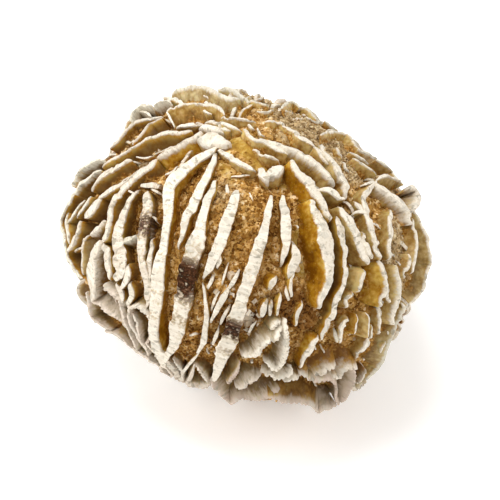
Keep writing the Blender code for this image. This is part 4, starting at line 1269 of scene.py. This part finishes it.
grainForm = {"Sides": 5, "Top": 0.0, "Spread": 0.4, "Thin": 0.4, "Finish": looseSand}
grainPieces = {
    "nearSand": {**grainForm, "Where": "near", "Spacing": 0.49, "Size": 0.62, "Seed": 5},
    "farSand": {**grainForm, "Where": "far", "Spacing": 0.6, "Size": 0.75, "Seed": 6},
    "coarseGrains": {
        **grainForm, "Where": "all", "Top": 0.3, "Spacing": 2.0, "Size": 0.9, "Spread": 0.35, "Thin": 0.5,
        "Seed": 9,
    },
    "whiteFlakes": {
        "Where": "chips", "Sides": 4, "Top": 0.45, "Spacing": 0.75, "Size": 1.25, "Spread": 0.5, "Thin": 0.7,
        "Seed": 3, "Finish": chipWhite,
    },
}
grainLie = {
    "clear": 2.0,  # mm over the floor without grains
    "slope": 0.9,  # how steeply the border between near and far climbs towards the back
    "border": 6,  # mm, its height over the middle
    "nearMost": 1.3,  # density of the near grains, before amber places lose some
    "amberLoss": 1.4,
    "coarseLoss": 0.9,
    "chipFrom": 0.12,
    "chipSpots": (  # as the core's spots
        (243, 312, 15, 1.2), (258, 326, 12, 0.9), (228, 290, 12, 0.7), (377, 192, 9, 0.8),
        (300, 262, 9, 0.5), (350, 290, 14, 0.4), (360, 345, 14, 0.5), (150, 150, 25, 0.25),
        (110, 310, 20, 0.3),
    ),
}


def grainTree():
    tree = bpy.data.node_groups.new("scatterGrains", "GeometryNodeTree")
    sockets = {}
    kinds = {
        "Surface": "Geometry", "Where": "String", "Sides": "Int", "Top": "Float", "Spacing": "Float",
        "Size": "Float", "Spread": "Float", "Thin": "Float", "Seed": "Int", "Finish": "Material",
    }
    tree.interface.new_socket("Geometry", in_out="OUTPUT", socket_type="NodeSocketGeometry")
    for name, kind in kinds.items():
        socket = tree.interface.new_socket(name, in_out="INPUT", socket_type="NodeSocket" + kind)
        sockets[name] = socket.identifier

    def add(kind, settings, inputs, output=0):
        made = tree.nodes.new(kind)
        for name, value in settings.items():
            setattr(made, name, value)
        for name, value in inputs.items():
            if isinstance(value, bpy.types.NodeSocket):
                tree.links.new(value, made.inputs[name])
            else:
                made.inputs[name].default_value = value
        return made.outputs[output] if made.outputs else None

    def reckon(operation, first, second):
        return add("ShaderNodeMath", {"operation": operation}, {0: first, 1: second})

    def chance(low, high, seed):
        inputs = {"Min": low, "Max": high, "Seed": seed}
        return add("FunctionNodeRandomValue", {"data_type": "FLOAT"}, inputs, 1)

    fullTurn = 6.283
    add("NodeGroupInput", {}, {})
    given = tree.nodes["Group Input"].outputs
    density = add("GeometryNodeInputNamedAttribute", {"data_type": "FLOAT"}, {"Name": given["Where"]})
    spots = add("GeometryNodeDistributePointsOnFaces", {"distribute_method": "POISSON"}, {
        "Mesh": given["Surface"], "Distance Min": given["Spacing"], "Density Max": 2.0e7,
        "Density Factor": density, "Seed": given["Seed"],
    })
    turn = add("FunctionNodeRandomValue", {"data_type": "FLOAT_VECTOR"}, {
        "Min": (0, 0, 0), "Max": (fullTurn, fullTurn, fullTurn), "Seed": 3,
    })
    grain = add("GeometryNodeMeshCone", {}, {
        "Vertices": given["Sides"], "Radius Top": given["Top"], "Radius Bottom": 0.5, "Depth": 0.9,
    })
    low = reckon("MULTIPLY", reckon("SUBTRACT", 1.0, given["Spread"]), given["Size"])
    high = reckon("MULTIPLY", reckon("ADD", 1.0, given["Spread"]), given["Size"])
    shape = add("ShaderNodeCombineXYZ", {}, {
        0: 1.0, 1: chance(0.6, 1.0, 8), 2: chance(reckon("SUBTRACT", 1.0, given["Thin"]), 1.0, 6),
    })
    scale = add("ShaderNodeVectorMath", {"operation": "SCALE"}, {0: shape, "Scale": chance(low, high, 5)})
    grains = add("GeometryNodeInstanceOnPoints", {}, {
        "Points": spots, "Instance": grain, "Rotation": turn, "Scale": scale,
    })
    toned = add("GeometryNodeStoreNamedAttribute", {"data_type": "FLOAT", "domain": "INSTANCE"}, {
        "Geometry": grains, "Name": "grainTone", "Value": chance(0.0, 1.0, 7),
    })
    real = add("GeometryNodeRealizeInstances", {}, {"Geometry": toned})
    flat = add("GeometryNodeSetShadeSmooth", {}, {"Geometry": real, "Shade Smooth": False})
    done = add("GeometryNodeSetMaterial", {}, {"Geometry": flat, "Material": given["Finish"]})
    add("NodeGroupOutput", {}, {"Geometry": done})
    return tree, sockets


def scatter(name, form, surface, tree, sockets):
    modifier = surface.modifiers.new("grains", "NODES")
    modifier.node_group = tree
    for key, value in form.items():
        modifier[sockets[key]] = value * mm if key in ("Spacing", "Size") else value
    evaluated = surface.evaluated_get(bpy.context.evaluated_depsgraph_get())
    mesh = bpy.data.meshes.new_from_object(evaluated)
    surface.modifiers.clear()
    mesh.name = name
    print(f"{name}: {sum(len(face.vertices) - 2 for face in mesh.polygons)} triangles")
    return addObject(name, mesh)


print("core: packing sand")
sandCore = makePiece("sandCore", [corePart()], packedSand)
bladeGroups = {
    "frontBlades": frontBlades,
    "rightBlades": rightBlades,
    "upperBlades": upperBlades,
    "leftBlades": leftBlades,
    "lowerPlates": lowerPlates,
    "farBlades": farBlades,
    "footBlades": footBlades,
    "shards": shards,
}
pieces = [sandCore]
for number, (name, group) in enumerate(bladeGroups.items()):
    pieces.append(makePiece(name, bladeParts(group, 1000 * (number + 1)), selenite))
print("blades: grown")

# where the core bears fine grains, coarse ones and chips
places = np.array([vertex.co for vertex in sandCore.data.vertices]) / mm
exposed = np.where(places[:, 2] > grainLie["clear"], 1.0, 0.0)
near = places[:, 2] - grainLie["slope"] * places[:, 1] > grainLie["border"]
headings = unit(unplaced(places))
amber = spotShare(headings, "amber")
densities = {
    "near": exposed * near * np.clip(grainLie["nearMost"] - grainLie["amberLoss"] * amber, 0, 1),
    "far": exposed * ~near,
    "all": exposed * (1 - grainLie["coarseLoss"] * amber),
    "chips": exposed * np.clip(spotSum(headings, grainLie["chipSpots"]) - grainLie["chipFrom"], 0, 1),
}
for mark, density in densities.items():
    attribute = sandCore.data.attributes.new(mark, "FLOAT", "POINT")
    attribute.data.foreach_set("value", density.astype(np.float32))

print("grains: scattering")
tree, sockets = grainTree()
for name, form in grainPieces.items():
    pieces.append(scatter(name, form, sandCore, tree, sockets))
for mark in densities:
    sandCore.data.attributes.remove(sandCore.data.attributes[mark])

for piece in pieces:
    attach(piece, "root")
    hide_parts("sand_rose")

# Studio: a pale floor, a soft key light from the upper left and a broad fill

studio = {
    "lens": 110.0,
    "sensor": 36,
    "distance": 300.0,  # mm from the stone's centre
    "elevation": 43.0,
    "floorHalf": 1500.0,
    "lights": {
        "key": {"place": (-70, 20, 410), "size": 180, "power": 0.85},
        "front": {"place": (0, -370, 290), "size": 300, "power": 0.12},
        "right": {"place": (330, -60, 260), "size": 240, "power": 0.5},
        "left": {"place": (-340, -20, 240), "size": 240, "power": 0.9},
    },
    "sky": 0.55,
    "skyColour": (1.0, 0.98, 0.95, 1),
}


def lookAt(item, place, target):
    away = np.array(place, float) - target
    item.location = np.array(place) * mm
    tilt = math.atan2(math.hypot(away[0], away[1]), away[2])
    item.rotation_euler = (tilt, 0.0, math.atan2(away[0], -away[1]))


stoneCentre = np.array((0, 0, stoneForm["centreHeight"]))
lens = bpy.data.cameras.new("camera")
lens.lens = studio["lens"]
lens.sensor_width = studio["sensor"]
camera = addObject("camera", lens)
tilt = math.radians(studio["elevation"])
cameraPlace = stoneCentre + studio["distance"] * np.array((0, -math.cos(tilt), math.sin(tilt)))
lookAt(camera, cameraPlace, stoneCentre)
bpy.context.scene.camera = camera

for name, form in studio["lights"].items():
    light = bpy.data.lights.new(name, "AREA")
    light.size = form["size"] * mm
    light.energy = form["power"]
    lookAt(addObject(name, light), form["place"], stoneCentre)

edge = studio["floorHalf"] * mm
corners = [(-edge, -edge, 0), (edge, -edge, 0), (edge, edge, 0), (-edge, edge, 0)]
floorMesh = bpy.data.meshes.new("floor")
floorMesh.from_pydata(corners, [], [(0, 1, 2, 3)])
floorMesh.materials.append(floorFinish())
floor = addObject("floor", floorMesh)

world = bpy.data.worlds.new("studio")
bpy.context.scene.world = world
world.use_nodes = True
world.node_tree.nodes["Background"].inputs["Color"].default_value = studio["skyColour"]
world.node_tree.nodes["Background"].inputs["Strength"].default_value = studio["sky"]
bpy.context.scene.view_settings.view_transform = "Standard"

print("studio: camera, lights and floor placed")
